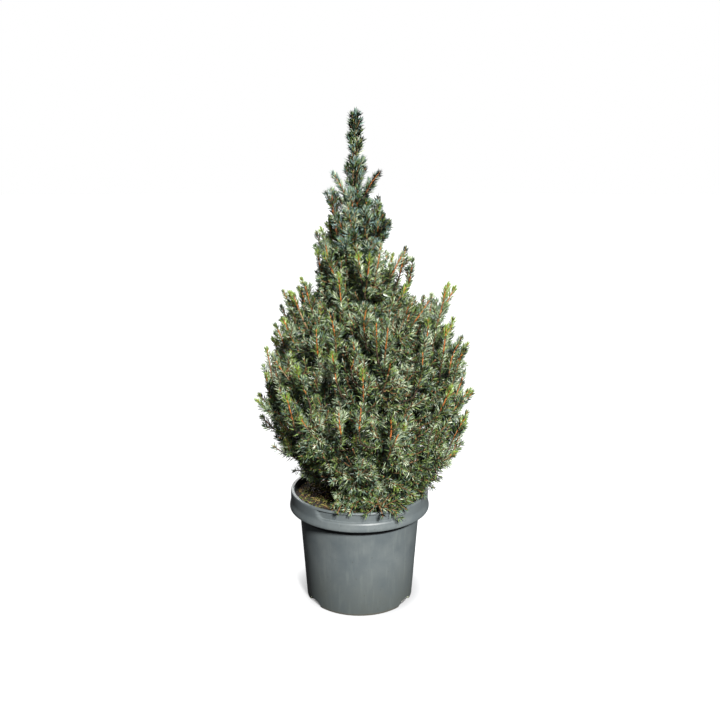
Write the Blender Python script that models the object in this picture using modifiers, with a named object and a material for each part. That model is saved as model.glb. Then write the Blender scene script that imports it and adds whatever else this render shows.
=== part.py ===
"""A potted dwarf Alberta spruce about 60 cm tall, in a 23 cm nursery pot.

Metres, +Z up. The origin is the middle of the pot's flat underside.

The pot, the potting mix and the trunk are turned or drawn along one line. The crown is a set of
tiers. In each tier the boughs leave the trunk evenly round it and sweep out and up, and each one
ends in a mass of foliage: one stem, the shoots that branch from it and a core of packed needles.
A mass keeps to the space that is nearer to its own stem than to any other.
"""

import math
import random
from collections import namedtuple

import bmesh
import bpy
import numpy as np
from mathutils import Matrix, Vector

# ---------------------------------------------------------------- driving dimensions, in metres

CLEAR = 0.0003  # gap between two pieces that touch on the real plant
MERGE = 0.00002

# Pot: a tapering bucket with a deep stepped collar.
TURN_STEPS = 48
POT_HEIGHT = 0.186
FOOT_RADIUS = 0.0871
SHOULDER_RADIUS = 0.0976  # body, just under the collar
COLLAR_RADIUS = 0.1150  # the widest place of the pot, at the collar's lower edge
LIP_RADIUS = 0.1118
LIP_WIDTH = 0.0042
COLLAR_DROP = 0.0310
POT_WALL = 0.0021
FLOOR = 0.0095  # floor's thickness over the foot ring
FOOT_RING = 0.0090  # radial width of the ring that the pot stands on
FOOT_DISC = 0.0230  # radius of the flat disc in the middle of the underside
UNDER_RECESS = 0.0048  # hollow between ring and disc
DRAIN_HOLES = 6
DRAIN_RADIUS = 0.0050
NOTCH_TURNS = (-64, 64, 184)  # notches in the foot, degrees from the front
NOTCH_HALF_ANGLE = 11
NOTCH_HEIGHT = 0.0085
NOTCH_DEPTH = 0.0032
PANEL_TURNS = (0, 180)  # plain sunk panels in the collar, front and back
PANEL_HALF_ANGLE = 37.2
PANEL_FOOT = 0.0120  # from the collar's lower edge up to the panel
PANEL_DEPTH = 0.0016

# Potting mix.
GROUND = 0.1760  # the trunk's flat cut
MIX_EDGE_DROP = 0.0020
MIX_UNEVEN = 0.0016
WALL_GAP = 0.0005

# Trunk.
TRUNK_FOOT = Vector((0.0040, 0.0020, GROUND))
TRUNK_TIP = Vector((-0.0060, 0.0000, 0.7120))
TRUNK_BOW = 0.0045
TRUNK_RADIUS = 0.0098
TRUNK_TIP_RADIUS = 0.0012
FLARE = 1.55  # root flare, times the trunk's radius
FLARE_HEIGHT = 0.0120
TRUNK_RINGS = 18

# Crown. Angles are degrees anticlockwise from +X, seen from above, so the front is at 270.
TREE_TOP = 0.7880
SEED = 37
BOUGH_SHARE = 0.40  # a bough is this share of the line from trunk to tip
BOUGH_RADIUS = 0.0030
BOUGH_TAPER = 0.60
SHARE_GAP = 0.0012  # half the gap that two masses keep between them
LIMB_GAP = 0.0010
SITES = 7  # points along a stem that its mass's space is measured from

# height, the crown's radius there with its needles, and how far it lies to the right
CROWN = (
    (0.165, 0.122, 0.012),
    (0.200, 0.132, 0.014),
    (0.250, 0.150, 0.018),
    (0.300, 0.175, 0.010),
    (0.350, 0.184, 0.008),
    (0.440, 0.170, 0.010),
    (0.528, 0.140, 0.012),
    (0.545, 0.098, 0.010),
    (0.600, 0.070, 0.004),
    (0.660, 0.049, -0.004),
    (0.704, 0.043, -0.006),
    (0.716, 0.020, -0.006),
    (0.790, 0.011, -0.006),
)
Tier = namedtuple("Tier", "name masses turn root tip reach shoots shoot core bough places")
# name, masses, first angle, height of root and tip, reach as a share of the crown's radius,
# shoots and their length, core's half width, whether a bough carries it, places round the trunk
TIERS = (
    Tier("skirt", 5, -82, 0.212, 0.194, 0.99, 5, 0.045, 0.036, False, 6),
    Tier("low", 6, 22, 0.216, 0.268, 0.98, 6, 0.058, 0.054, False, 6),
    Tier("wide", 6, -6, 0.250, 0.346, 0.97, 6, 0.064, 0.060, True, 6),
    Tier("mid", 6, -22, 0.306, 0.430, 0.97, 6, 0.064, 0.057, True, 6),
    Tier("high", 5, 5, 0.372, 0.515, 0.96, 6, 0.062, 0.049, True, 5),
    Tier("shoulder", 4, 28, 0.452, 0.594, 0.96, 6, 0.050, 0.035, False, 4),
    Tier("neck", 3, -20, 0.530, 0.650, 0.94, 4, 0.040, 0.026, False, 3),
    Tier("spire", 2, 14, 0.596, 0.702, 0.92, 3, 0.034, 0.017, False, 2),
    Tier("leader", 2, 70, 0.620, 0.738, 0.60, 0, 0.024, 0.012, False, 2),
)

# Shoots: a slim core that needles stand out of.
TWIG_RADIUS = 0.0016
SPRAY_RADIUS = 0.0046
NEEDLE_REACH = 0.0120  # from the twig's middle to a needle's point
NEEDLE_LEAN = 0.0070  # how far a needle's point lies ahead of its foot
GOLDEN_ANGLE = math.radians(137.5)
SHOOT_SPREAD = 0.55  # how far a shoot leans to its own side
LIFT = 0.90  # how strongly a shoot turns up towards the light
DROOP_HEIGHT = 0.185  # the lowest shoots spread flat; the lift grows to its full from here
FULL_LIFT_HEIGHT = 0.300
CORE_DEPTH = 0.006  # from the crown's surface in to the cores
CORE_HEIGHT = 0.56  # a core is a flat fan: its height over its width

COLOURS = {
    "pot": ((0.190, 0.225, 0.225), 0.42),
    "mix": ((0.030, 0.020, 0.012), 0.95),
    "bark": ((0.180, 0.105, 0.060), 0.85),
    "foliage": ((0.085, 0.130, 0.075), 0.60),
}


# ---------------------------------------------------------------- scene, materials, mesh helpers


def clear_scene():
    for obj in list(bpy.data.objects):
        bpy.data.objects.remove(obj, do_unlink=True)


def collection(name):
    made = bpy.data.collections.new(name)
    bpy.context.scene.collection.children.link(made)
    return made


def material(name):
    colour, roughness = COLOURS[name]
    made = bpy.data.materials.new(name)
    made.use_nodes = True
    shader = made.node_tree.nodes["Principled BSDF"]
    shader.inputs["Base Color"].default_value = (*colour, 1.0)
    shader.inputs["Roughness"].default_value = roughness
    shader.inputs["Metallic"].default_value = 0.0
    made.diffuse_color = (*colour, 1.0)
    return made


def add_object(name, data, home, finish=None):
    obj = bpy.data.objects.new(name, data)
    home.objects.link(obj)
    if finish is not None:
        obj.data.materials.clear()
        obj.data.materials.append(finish)
    return obj


def mesh_from(bm, name):
    bmesh.ops.recalc_face_normals(bm, faces=bm.faces)
    if bm.calc_volume(signed=True) < 0:
        bmesh.ops.reverse_faces(bm, faces=bm.faces)
    mesh = bpy.data.meshes.new(name)
    bm.to_mesh(mesh)
    bm.free()
    return mesh


def applied(obj):
    """The object's mesh with its modifiers applied."""
    graph = bpy.context.evaluated_depsgraph_get()
    graph.update()
    return bpy.data.meshes.new_from_object(obj.evaluated_get(graph))


def largest_shell(mesh):
    """Keeps the shell with the most volume: loose scraps and sealed hollows go."""
    bm = bmesh.new()
    bm.from_mesh(mesh)
    bmesh.ops.triangulate(bm, faces=bm.faces)
    left = set(bm.faces)
    shells = []
    while left:
        first = left.pop()
        shell, front = {first}, [first]
        while front:
            face = front.pop()
            for edge in face.edges:
                for other in edge.link_faces:
                    if other in left:
                        left.remove(other)
                        shell.add(other)
                        front.append(other)
        volume = 0.0
        for face in shell:
            a, b, c = (v.co for v in face.verts)
            volume += a.dot(b.cross(c)) / 6
        shells.append((volume, shell))
    shells.sort(key=lambda pair: pair[0])
    scraps = [face for _, shell in shells[:-1] for face in shell]
    bmesh.ops.delete(bm, geom=scraps, context="FACES")
    bm.to_mesh(mesh)
    bm.free()
    return mesh


def unclosed_edges(mesh):
    bm = bmesh.new()
    bm.from_mesh(mesh)
    open_edges = sum(1 for edge in bm.edges if len(edge.link_faces) != 2)
    bm.free()
    return open_edges


def fuse(name, meshes, home, finish):
    """Joins closed meshes into one object by a single Boolean union on a collection."""
    if len(meshes) == 1:
        return add_object(name, meshes[0], home, finish)
    pieces = collection("pieces of " + name)
    first = add_object(name + "_first", meshes[0], home)
    for number, mesh in enumerate(meshes[1:]):
        add_object(f"{name}_piece_{number}", mesh, pieces)
    result = None
    for solver in ("MANIFOLD", "EXACT"):
        join = first.modifiers.new("join", "BOOLEAN")
        join.operation = "UNION"
        join.operand_type = "COLLECTION"
        join.collection = pieces
        join.solver = solver
        result = largest_shell(applied(first))
        first.modifiers.remove(join)
        if result.polygons and not unclosed_edges(result):
            break
    for obj in [*pieces.objects, first]:
        bpy.data.objects.remove(obj, do_unlink=True)
    bpy.data.collections.remove(pieces)
    result.name = name
    return add_object(name, result, home, finish)


# ---------------------------------------------------------------- pot and potting mix


def turned(name, profile, home, finish):
    """Turns a profile of (radius, height) points round Z. It runs down its outer side."""
    mesh = bpy.data.meshes.new(name)
    points = [(radius, 0.0, height) for radius, height in profile]
    mesh.from_pydata(points, [(i, i + 1) for i in range(len(points) - 1)], [])
    obj = add_object(name, mesh, home, finish)
    screw = obj.modifiers.new("turn", "SCREW")
    screw.axis = "Z"
    screw.steps = screw.render_steps = TURN_STEPS
    screw.use_merge_vertices = True
    screw.merge_threshold = MERGE
    return obj


def body_radius(height):
    """Outer radius of the pot's tapering body."""
    shoulder = POT_HEIGHT - COLLAR_DROP
    return FOOT_RADIUS + (SHOULDER_RADIUS - FOOT_RADIUS) * height / shoulder


def pot_profile():
    shoulder = POT_HEIGHT - COLLAR_DROP
    lip_inside = LIP_RADIUS - LIP_WIDTH
    return (
        (0.0, FLOOR),
        (body_radius(FLOOR) - POT_WALL, FLOOR),
        (SHOULDER_RADIUS - POT_WALL, shoulder),
        (lip_inside - 0.0014, shoulder + 0.0030),
        (lip_inside, POT_HEIGHT - 0.0014),
        (lip_inside + 0.0012, POT_HEIGHT),
        (LIP_RADIUS, POT_HEIGHT),
        (LIP_RADIUS + 0.0013, POT_HEIGHT - 0.0026),
        (COLLAR_RADIUS, shoulder + 0.0030),
        (COLLAR_RADIUS - 0.0008, shoulder),
        (COLLAR_RADIUS - 0.0030, shoulder),
        (body_radius(shoulder), shoulder + 0.0012),
        (FOOT_RADIUS, 0.0014),
        (FOOT_RADIUS - 0.0010, 0.0),
        (FOOT_RADIUS - FOOT_RING, 0.0),
        (FOOT_RADIUS - FOOT_RING - 0.0010, UNDER_RECESS),
        (FOOT_DISC + 0.0010, UNDER_RECESS),
        (FOOT_DISC, 0.0),
        (0.0, 0.0),
    )


def ring_sector(name, inner, outer, low, high, half_angle, turn, home):
    """A cutter: a block spun round Z, its middle at turn, in degrees from the front."""
    bm = bmesh.new()
    corners = ((inner, low), (outer, low), (outer, high), (inner, high))
    block = bm.faces.new([bm.verts.new((radius, 0.0, height)) for radius, height in corners])
    start = Matrix.Rotation(math.radians(turn - 90 - half_angle), 4, "Z")
    bmesh.ops.transform(bm, matrix=start, verts=bm.verts)
    bmesh.ops.spin(
        bm, geom=[block, *block.edges, *block.verts], axis=(0, 0, 1), cent=(0, 0, 0),
        angle=math.radians(2 * half_angle), steps=round(2 * half_angle / 7.5),
    )
    return add_object(name, mesh_from(bm, name), home)


def drain_cutter(number, home):
    bm = bmesh.new()
    bmesh.ops.create_cone(
        bm, cap_ends=True, segments=8, radius1=DRAIN_RADIUS, radius2=DRAIN_RADIUS, depth=4 * FLOOR
    )
    angle = 2 * math.pi * number / DRAIN_HOLES + math.radians(13)
    away = (FOOT_DISC + FOOT_RADIUS - FOOT_RING) / 2
    place = (away * math.cos(angle), away * math.sin(angle), 0.0)
    bmesh.ops.translate(bm, verts=bm.verts, vec=place)
    name = f"drain_cutter_{number}"
    return add_object(name, mesh_from(bm, name), home)


def make_pot(home, cutters):
    pot = turned("pot", pot_profile(), home, material("pot"))
    shoulder = POT_HEIGHT - COLLAR_DROP
    tools = []
    for turn in NOTCH_TURNS:
        inner = FOOT_RADIUS - NOTCH_DEPTH
        outer = FOOT_RADIUS + 0.010
        span = (-0.010, NOTCH_HEIGHT, NOTCH_HALF_ANGLE, turn)
        tools.append(ring_sector(f"notch_cutter_{turn}", inner, outer, *span, cutters))
    for turn in PANEL_TURNS:
        inner = LIP_RADIUS + 0.0013 - PANEL_DEPTH
        outer = COLLAR_RADIUS + 0.010
        low = shoulder + PANEL_FOOT
        high = POT_HEIGHT - 0.0030
        tools.append(
            ring_sector(f"panel_cutter_{turn}", inner, outer, low, high, PANEL_HALF_ANGLE, turn, cutters)
        )
    tools += [drain_cutter(number, cutters) for number in range(DRAIN_HOLES)]
    for tool in tools:
        tool.hide_render = True
        tool.display_type = "WIRE"
        cut = pot.modifiers.new(tool.name, "BOOLEAN")
        cut.operation = "DIFFERENCE"
        cut.object = tool
    return pot


def make_mix(home):
    """The potting mix and roots that fill the pot, with an uneven top."""
    shoulder = POT_HEIGHT - COLLAR_DROP
    level = GROUND - CLEAR
    lip_inside = LIP_RADIUS - LIP_WIDTH
    profile = (
        (0.0, level),
        (0.0220, level),
        (0.0480, level + 0.0006),
        (0.0740, level - 0.0004),
        (lip_inside - 0.0006 - WALL_GAP, level - MIX_EDGE_DROP),
        (lip_inside - 0.0016 - WALL_GAP, shoulder + 0.0036),
        (SHOULDER_RADIUS - POT_WALL - WALL_GAP, shoulder + 0.0006),
        (body_radius(FLOOR) - POT_WALL - WALL_GAP, FLOOR + CLEAR),
        (0.0, FLOOR + CLEAR),
    )
    mix = turned("potting_mix", profile, home, material("mix"))
    mesh = applied(mix)
    bpy.data.objects.remove(mix, do_unlink=True)
    rng = random.Random(SEED)
    flat_middle = TRUNK_RADIUS * FLARE + 0.008
    for vertex in mesh.vertices:
        from_axis = math.hypot(vertex.co.x, vertex.co.y)
        if vertex.co.z > level - MIX_EDGE_DROP / 2 and from_axis > flat_middle:
            vertex.co.z += rng.uniform(-1, 1) * MIX_UNEVEN
    return add_object("potting_mix", mesh, home, bpy.data.materials["mix"])


# ---------------------------------------------------------------- trunk


def trunk_point(height):
    """The trunk's middle at a height: a slight lean, and a slight bow to the left."""
    share = (height - TRUNK_FOOT.z) / (TRUNK_TIP.z - TRUNK_FOOT.z)
    point = TRUNK_FOOT.lerp(TRUNK_TIP, share)
    point.x -= TRUNK_BOW * math.sin(math.pi * min(1.0, max(0.0, share)))
    return point


def trunk_radius(height):
    share = (height - TRUNK_FOOT.z) / (TRUNK_TIP.z - TRUNK_FOOT.z)
    radius = TRUNK_TIP_RADIUS + (TRUNK_RADIUS - TRUNK_TIP_RADIUS) * (1 - share) ** 1.15
    flare = (FLARE - 1) * math.exp(-(height - TRUNK_FOOT.z) / FLARE_HEIGHT)
    return radius * (1 + flare)


def limb_object(name, line, home, finish, resolution):
    """A tapering limb: a poly curve with a round bevel. line holds (point, radius) pairs."""
    curve = bpy.data.curves.new(name, "CURVE")
    curve.dimensions = "3D"
    curve.bevel_depth = line[0][1]
    curve.bevel_resolution = resolution
    curve.use_fill_caps = True
    spline = curve.splines.new("POLY")
    spline.points.add(len(line) - 1)
    for place, (point, radius) in zip(spline.points, line):
        place.co = (*point, 1.0)
        place.radius = radius / line[0][1]
    return add_object(name, curve, home, finish)


def make_trunk(home):
    heights = [GROUND, GROUND + 0.004, GROUND + 0.010, GROUND + 0.022]
    rings = TRUNK_RINGS - len(heights)
    rise = (TRUNK_TIP.z - heights[-1]) / rings
    heights += [heights[-1] + rise * (number + 1) for number in range(rings)]
    line = [(trunk_point(height), trunk_radius(height)) for height in heights]
    line[1][0].xy = line[0][0].xy  # upright at the foot, so that the cut is level
    return limb_object("trunk", line, home, material("bark"), 5)


# ---------------------------------------------------------------- crown: where everything goes


def crown_at(height):
    """The crown's radius at a height, or heights, and how far its middle lies to the right."""
    heights, radii, shifts = zip(*CROWN)
    return np.interp(height, heights, radii), np.interp(height, heights, shifts)


class Mass:
    """One bough's line from the trunk's middle to its tip, and the share of it that is foliage."""

    def __init__(self, tier, number, rng):
        self.tier = tier
        self.name = f"{tier.name}_{number + 1}"
        angle = math.radians(tier.turn + 360 * number / tier.places)
        angle += math.radians(rng.uniform(-6, 6))
        tip = tier.tip + rng.uniform(-0.008, 0.006)
        radius, shift = crown_at(tip)
        reach = radius * tier.reach * rng.uniform(0.93, 1.0)
        self.outward = Vector((math.cos(angle), math.sin(angle), 0.0))
        self.root = trunk_point(tier.root)
        self.tip = self.outward * reach
        self.tip.x += shift
        self.tip.z = tip
        span = self.tip - self.root
        self.knee = self.root + Vector((span.x * 0.66, span.y * 0.66, span.z * 0.22))
        self.start = BOUGH_SHARE if tier.bough else self.leaves_trunk(0.0)
        self.seed = rng.random()

    def point(self, share):
        """Quadratic curve from the root, out towards the knee, and up to the tip."""
        a = self.root.lerp(self.knee, share)
        b = self.knee.lerp(self.tip, share)
        return a.lerp(b, share)

    def heading(self, share):
        step = 0.002
        low, high = max(0.0, share - step), min(1.0, share + step)
        return (self.point(high) - self.point(low)).normalized()

    def leaves_trunk(self, radius):
        """The share at which a limb of this radius stands CLEAR of the trunk."""
        share = 0.0
        while share < 1.0:
            point = self.point(share)
            away = (point - trunk_point(point.z)).xy.length
            tilt = abs(self.heading(share).z)
            if away > trunk_radius(point.z) + CLEAR + radius * tilt:
                return share
            share += 0.002
        return share

    def along(self, distance):
        """The share that lies this far past the start of the foliage."""
        share = self.start
        while (self.point(share) - self.point(self.start)).length < distance:
            share += 0.0005
        return share


def crown():
    """Every mass of the crown, from the skirt up to the leader."""
    rng = random.Random(SEED)
    return [Mass(tier, number, rng) for tier in TIERS for number in range(tier.masses)]


class Spaces:
    """Tells which points are nearer to one mass's stem than to any other, and clear of limbs."""

    def __init__(self, masses):
        stems = [
            [mass.point(mass.start + (1 - mass.start) * k / (SITES - 1)) for k in range(SITES)]
            for mass in masses
        ]
        stems.append([TRUNK_TIP + Vector((0, 0, 0.006 * k)) for k in range(SITES)])  # the top tuft
        self.stems = np.array([[tuple(p) for p in stem] for stem in stems])
        limbs = []
        height = GROUND
        while height < TRUNK_TIP.z:
            limbs.append((*trunk_point(height), trunk_radius(height)))
            height += 0.002
        for mass in masses:
            if mass.tier.bough:
                for k in range(40):
                    limbs.append((*mass.point(BOUGH_SHARE * k / 39), BOUGH_RADIUS))
        self.limbs = np.array(limbs)

    def free(self, number, points, depth=0.0):
        """Which of the points belong to mass `number`, lie at least depth inside the crown, and
        touch no limb, pot or potting mix."""
        points = np.asarray(points, float).reshape(-1, 3)
        gap = points[:, None, None, :] - self.stems[None]
        nearest = np.sqrt((gap**2).sum(3)).min(2)
        own = nearest[:, number].copy()
        nearest[:, number] = np.inf
        inside = nearest.min(1) - own > 2 * SHARE_GAP
        away = np.sqrt(((points[:, None] - self.limbs[None, :, :3]) ** 2).sum(2))
        clear = (away - self.limbs[None, :, 3]).min(1) > LIMB_GAP
        radius = np.hypot(points[:, 0], points[:, 1])
        over_pot = (points[:, 2] > POT_HEIGHT + 0.0015) | (radius > COLLAR_RADIUS + 0.0015)
        crown_radius, shift = crown_at(points[:, 2])
        from_middle = np.hypot(points[:, 0] - shift, points[:, 1])
        in_crown = from_middle < np.maximum(crown_radius - depth, 0.6 * crown_radius)
        return inside & clear & over_pot & in_crown


# ---------------------------------------------------------------- crown: shoots, stems and cores


def bent_prism(path, width, sides, rings, needle=0.0, flat=1.0, lift=0.0):
    """A closed prism bent along path(0..1), with each face drawn out into a point that long.

    width(share) is its radius, flat its height over its width, and lift how far each point
    rises. Without a needle, its faces stay flat.
    """
    bm = bmesh.new()
    bmesh.ops.create_cone(
        bm, cap_ends=True, segments=sides, radius1=1.0, radius2=1.0, depth=1.0,
        matrix=Matrix.Translation((0, 0, 0.5)),
    )
    upright = [e for e in bm.edges if abs(e.verts[0].co.z - e.verts[1].co.z) > 0.5]
    if rings > 1:
        bmesh.ops.subdivide_edges(bm, edges=upright, cuts=rings - 1, use_grid_fill=True)
    points = set()
    if needle:
        outer = [f for f in bm.faces if f.calc_center_median().z > 1e-4]
        points = set(bmesh.ops.poke(bm, faces=outer)["verts"])
    for vertex in bm.verts:
        share = vertex.co.z
        side = Vector((vertex.co.x, vertex.co.y)) * width(share)
        ahead = 0.0
        if vertex in points:
            ahead = NEEDLE_LEAN
            if side.length > 1e-5:
                side += side.normalized() * needle
        centre, heading = path(share)
        across, over = frame_of(heading)
        vertex.co = centre + across * side.x + over * side.y * flat + heading * ahead
        if vertex in points:
            vertex.co.z += lift
    return bm


def frame_of(heading):
    """Two unit vectors square to a heading."""
    across = heading.cross(Vector((0, 0, 1)))
    if across.length < 0.05:
        across = heading.cross(Vector((0, 1, 0)))
    across.normalize()
    return across, across.cross(heading)


def sampled(bm):
    """The mesh's corners and two points along each of its edges."""
    points = [tuple(v.co) for v in bm.verts]
    for edge in bm.edges:
        a, b = (v.co for v in edge.verts)
        points += [tuple(a.lerp(b, 0.33)), tuple(a.lerp(b, 0.67))]
    return points


def shoot_path(foot, heading, length, lift):
    """A shoot that leaves along heading and turns up as it grows."""
    middle = foot + heading * length * 0.5
    ahead = (heading + Vector((0, 0, lift))).normalized()
    tip = middle + ahead * length * 0.5

    def path(share):
        a, b = foot.lerp(middle, share), middle.lerp(tip, share)
        return a.lerp(b, share), (b - a).normalized()

    return path


def shoots_of(mass):
    """(path, length) of each shoot of the fan, by turns of the golden angle up the stem."""
    rng = random.Random(mass.seed)
    tier = mass.tier
    made = []
    for number in range(tier.shoots):
        up_stem = 0.22 + 0.70 * (number + 0.5) / tier.shoots
        share = mass.start + (1 - mass.start) * up_stem
        heading = mass.heading(share)
        across, over = frame_of(heading)
        turn = GOLDEN_ANGLE * number + 2 * math.pi * mass.seed
        side = across * math.cos(turn) + over * math.sin(turn) * CORE_HEIGHT
        foot = mass.point(share) + side * tier.core * 0.75
        rise = (foot.z - DROOP_HEIGHT) / (FULL_LIFT_HEIGHT - DROOP_HEIGHT)
        lift = LIFT * min(1.0, max(0.0, rise))
        leave = heading + side * SHOOT_SPREAD + Vector((0, 0, lift))
        length = tier.shoot * rng.uniform(0.88, 1.12)
        made.append((shoot_path(foot, leave.normalized(), length, lift), length))
    return made


def spray(path, length):
    """A shoot's slim core with needles standing out of it."""
    rings = 3 if length > 0.045 else 2
    return bent_prism(path, lambda s: SPRAY_RADIUS * (1 - 0.55 * s), 3, rings, NEEDLE_REACH * 0.7)


def stem(mass):
    """The mass's own stem, from its bough's tip or the trunk to just short of the tip."""
    if mass.tier.bough:
        thick = BOUGH_RADIUS * BOUGH_TAPER
        foot_share = mass.along(CLEAR)
    else:
        thick = TWIG_RADIUS
        foot_share = mass.leaves_trunk(thick)

    def path(share):
        place = foot_share + (0.97 - foot_share) * share
        return mass.point(place), mass.heading(place)

    return bent_prism(path, lambda s: thick * (1 - 0.55 * s), 3, 2)


def core(mass, number, spaces):
    """The packed needles of the fan: a spiky blob, drawn in until it keeps to its space."""
    low, high = 0.12, 0.84

    def path(share):
        place = mass.start + (1 - mass.start) * (low + (high - low) * share)
        return mass.point(place), mass.heading(place)

    def width(share):
        return mass.tier.core * (0.30 + 0.50 * math.sin(math.pi * min(1.0, 0.16 + 0.84 * share)))

    sides = 7 if mass.tier.core > 0.018 else 5
    bm = bent_prism(path, width, sides, 3, mass.tier.core * 0.42, CORE_HEIGHT, mass.tier.core * 0.30)
    middles = [path(k / 12)[0] for k in range(13)]
    for vertex in bm.verts:
        middle = min(middles, key=lambda p: (p - vertex.co).length)
        inner, outer = 0.0, 1.0
        if spaces.free(number, [tuple(vertex.co)], CORE_DEPTH)[0]:
            continue
        for _ in range(7):
            half = (inner + outer) / 2
            if spaces.free(number, [tuple(middle.lerp(vertex.co, half))], CORE_DEPTH)[0]:
                inner = half
            else:
                outer = half
        vertex.co = middle.lerp(vertex.co, inner)
    return bm


def grow(path, length, number, spaces):
    """A spray on this path, made shorter if it leaves its space, or None if it still does."""
    for share in (1.0, 0.75, 0.5):
        bm = spray(lambda s, share=share: path(s * share), length * share)
        outer = [p for p in sampled(bm) if (Vector(p) - path(0)[0]).length > 1.3 * NEEDLE_REACH]
        if spaces.free(number, outer).all():
            return bm
        bm.free()
    return None


def make_mass(mass, number, spaces, home, finish):
    meshes = [mesh_from(stem(mass), "stem"), mesh_from(core(mass, number, spaces), "core")]
    tip_length = min(0.045, 0.45 * (mass.tip - mass.point(mass.start)).length)
    tip_share = 1 - tip_length / max(0.01, (mass.tip - mass.root).length)
    tip_foot = mass.point(tip_share)
    ahead = mass.heading(1.0)

    def tip_path(share):
        return tip_foot.lerp(mass.tip, share) - ahead * NEEDLE_LEAN * share, ahead

    shoots = [(tip_path, tip_length), *shoots_of(mass)]
    for path, length in shoots:
        grown = grow(path, length, number, spaces)
        if grown is not None:
            meshes.append(mesh_from(grown, "shoot"))
    return fuse("foliage_" + mass.name, meshes, home, finish)


def make_bough(mass, home, finish):
    first = mass.leaves_trunk(BOUGH_RADIUS)
    steps = 4
    line = []
    for k in range(steps + 1):
        share = first + (BOUGH_SHARE - first) * k / steps
        line.append((mass.point(share), BOUGH_RADIUS * (1 - (1 - BOUGH_TAPER) * k / steps)))
    return limb_object("bough_" + mass.name, line, home, finish, 1)


def make_top_tuft(number, spaces, home, finish):
    """The tuft that ends the leader, standing on the trunk's tip."""
    foot = TRUNK_TIP + Vector((0, 0, CLEAR))
    height = TREE_TOP - foot.z - NEEDLE_LEAN
    up = Vector((0, 0, 1))

    def path(share):
        return foot + up * height * share, up

    bm = bent_prism(
        path, lambda s: TRUNK_TIP_RADIUS + 0.0030 * math.sin(math.pi * min(1.0, s + 0.1)), 5, 5,
        NEEDLE_REACH * 0.62,
    )
    return add_object("foliage_top", mesh_from(bm, "foliage_top"), home, finish)


def main():
    clear_scene()
    parts = collection("potted_alberta_spruce")
    cutters = collection("cutters")
    make_pot(parts, cutters)
    make_mix(parts)
    make_trunk(parts)
    bark, foliage = bpy.data.materials["bark"], material("foliage")
    masses = crown()
    spaces = Spaces(masses)
    for number, mass in enumerate(masses):
        if mass.tier.bough:
            make_bough(mass, parts, bark)
        make_mass(mass, number, spaces, parts, foliage)
    make_top_tuft(len(masses), spaces, parts, foliage)


main()
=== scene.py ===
# %% [markdown]
# # A dwarf Alberta spruce in its nursery pot
#
# The real thing is a slow, dense garden conifer, sold at about 60 cm in a moulded plastic pot.
# What makes it read as a spruce is its way of growing: a trunk, boughs that sweep out and up,
# branches off the boughs, side shoots off the branches, and needles set in a spiral on the
# youngest wood. This script follows that order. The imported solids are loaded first, as a fixed
# frame, and every piece made here stands where its solid stands.

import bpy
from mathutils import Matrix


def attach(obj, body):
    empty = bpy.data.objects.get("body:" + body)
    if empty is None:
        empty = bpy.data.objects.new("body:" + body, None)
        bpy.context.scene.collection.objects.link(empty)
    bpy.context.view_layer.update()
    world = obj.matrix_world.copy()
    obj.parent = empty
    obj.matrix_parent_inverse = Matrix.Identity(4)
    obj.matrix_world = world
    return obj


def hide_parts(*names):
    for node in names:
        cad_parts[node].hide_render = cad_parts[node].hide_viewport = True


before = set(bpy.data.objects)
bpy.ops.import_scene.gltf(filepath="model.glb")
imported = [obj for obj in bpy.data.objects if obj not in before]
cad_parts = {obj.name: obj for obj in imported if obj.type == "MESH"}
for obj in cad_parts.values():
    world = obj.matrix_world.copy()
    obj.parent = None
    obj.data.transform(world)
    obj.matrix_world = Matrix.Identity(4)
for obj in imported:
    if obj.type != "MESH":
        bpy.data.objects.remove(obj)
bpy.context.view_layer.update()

# %% Modules
import math
import random
from collections import namedtuple

import bmesh
import bpy
import numpy as np
from mathutils import Matrix, Vector, noise

# %% [markdown]
# ## The camera
#
# The camera stands a step away with a short telephoto, a little above the crown, so the rim of
# the pot shows as an ellipse. Its place, tilt and lens decide how much of the potting mix can
# be seen over the rim, so they come before any piece.

# %% Camera
CAMERA_PLACE = (0.0009, -1.287, 0.689)
CAMERA_TILT = 12.63  # degrees below level
CAMERA_LENS = 41.23  # mm, on a 36 mm sensor

camera_data = bpy.data.cameras.new("camera")
camera_data.lens = CAMERA_LENS
camera_data.sensor_width = 36
camera = bpy.data.objects.new("camera", camera_data)
camera.location = CAMERA_PLACE
camera.rotation_euler = (math.radians(90 - CAMERA_TILT), 0, 0)
bpy.context.scene.collection.objects.link(camera)
bpy.context.scene.camera = camera
print("camera:", CAMERA_LENS, "mm,", CAMERA_TILT, "degrees down")

# %% [markdown]
# ## Small tools for meshes
#
# A bmesh is Blender's workbench for a mesh: operators shape it, and at the end it becomes the
# mesh of an object. Each finished piece keeps its object at the origin, with its place in its
# mesh, so that a pattern on Object coordinates stays put.


# %% From a bmesh to a piece
def piece_from(bm, name, finish, smooth=True, sharp=None):
    """Ends a bmesh as an object. sharp is the angle, in degrees, past which an edge stays crisp."""
    mesh = bpy.data.meshes.new(name)
    bm.to_mesh(mesh)
    bm.free()
    return piece(mesh, name, finish, smooth, sharp)


def piece(mesh, name, finish, smooth=True, sharp=None):
    mesh.shade_smooth() if smooth else mesh.shade_flat()
    if sharp:
        mesh.set_sharp_from_angle(angle=math.radians(sharp))
    mesh.materials.append(finish)
    obj = bpy.data.objects.new(name, mesh)
    bpy.context.scene.collection.objects.link(obj)
    return obj


def dress(obj, nodes=()):
    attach(obj, "root")
    if nodes:
        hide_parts(*nodes)
    print(obj.name, len(obj.data.polygons), "faces")


# %% [markdown]
# ## Small tools for materials
#
# A node material is a graph. One function adds a node, sets its own settings and feeds its
# sockets, so the graph of a finish reads like a list of what the finish is made of. Colours are
# written as on screen (sRGB hex) and turned to linear light once, here.


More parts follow.
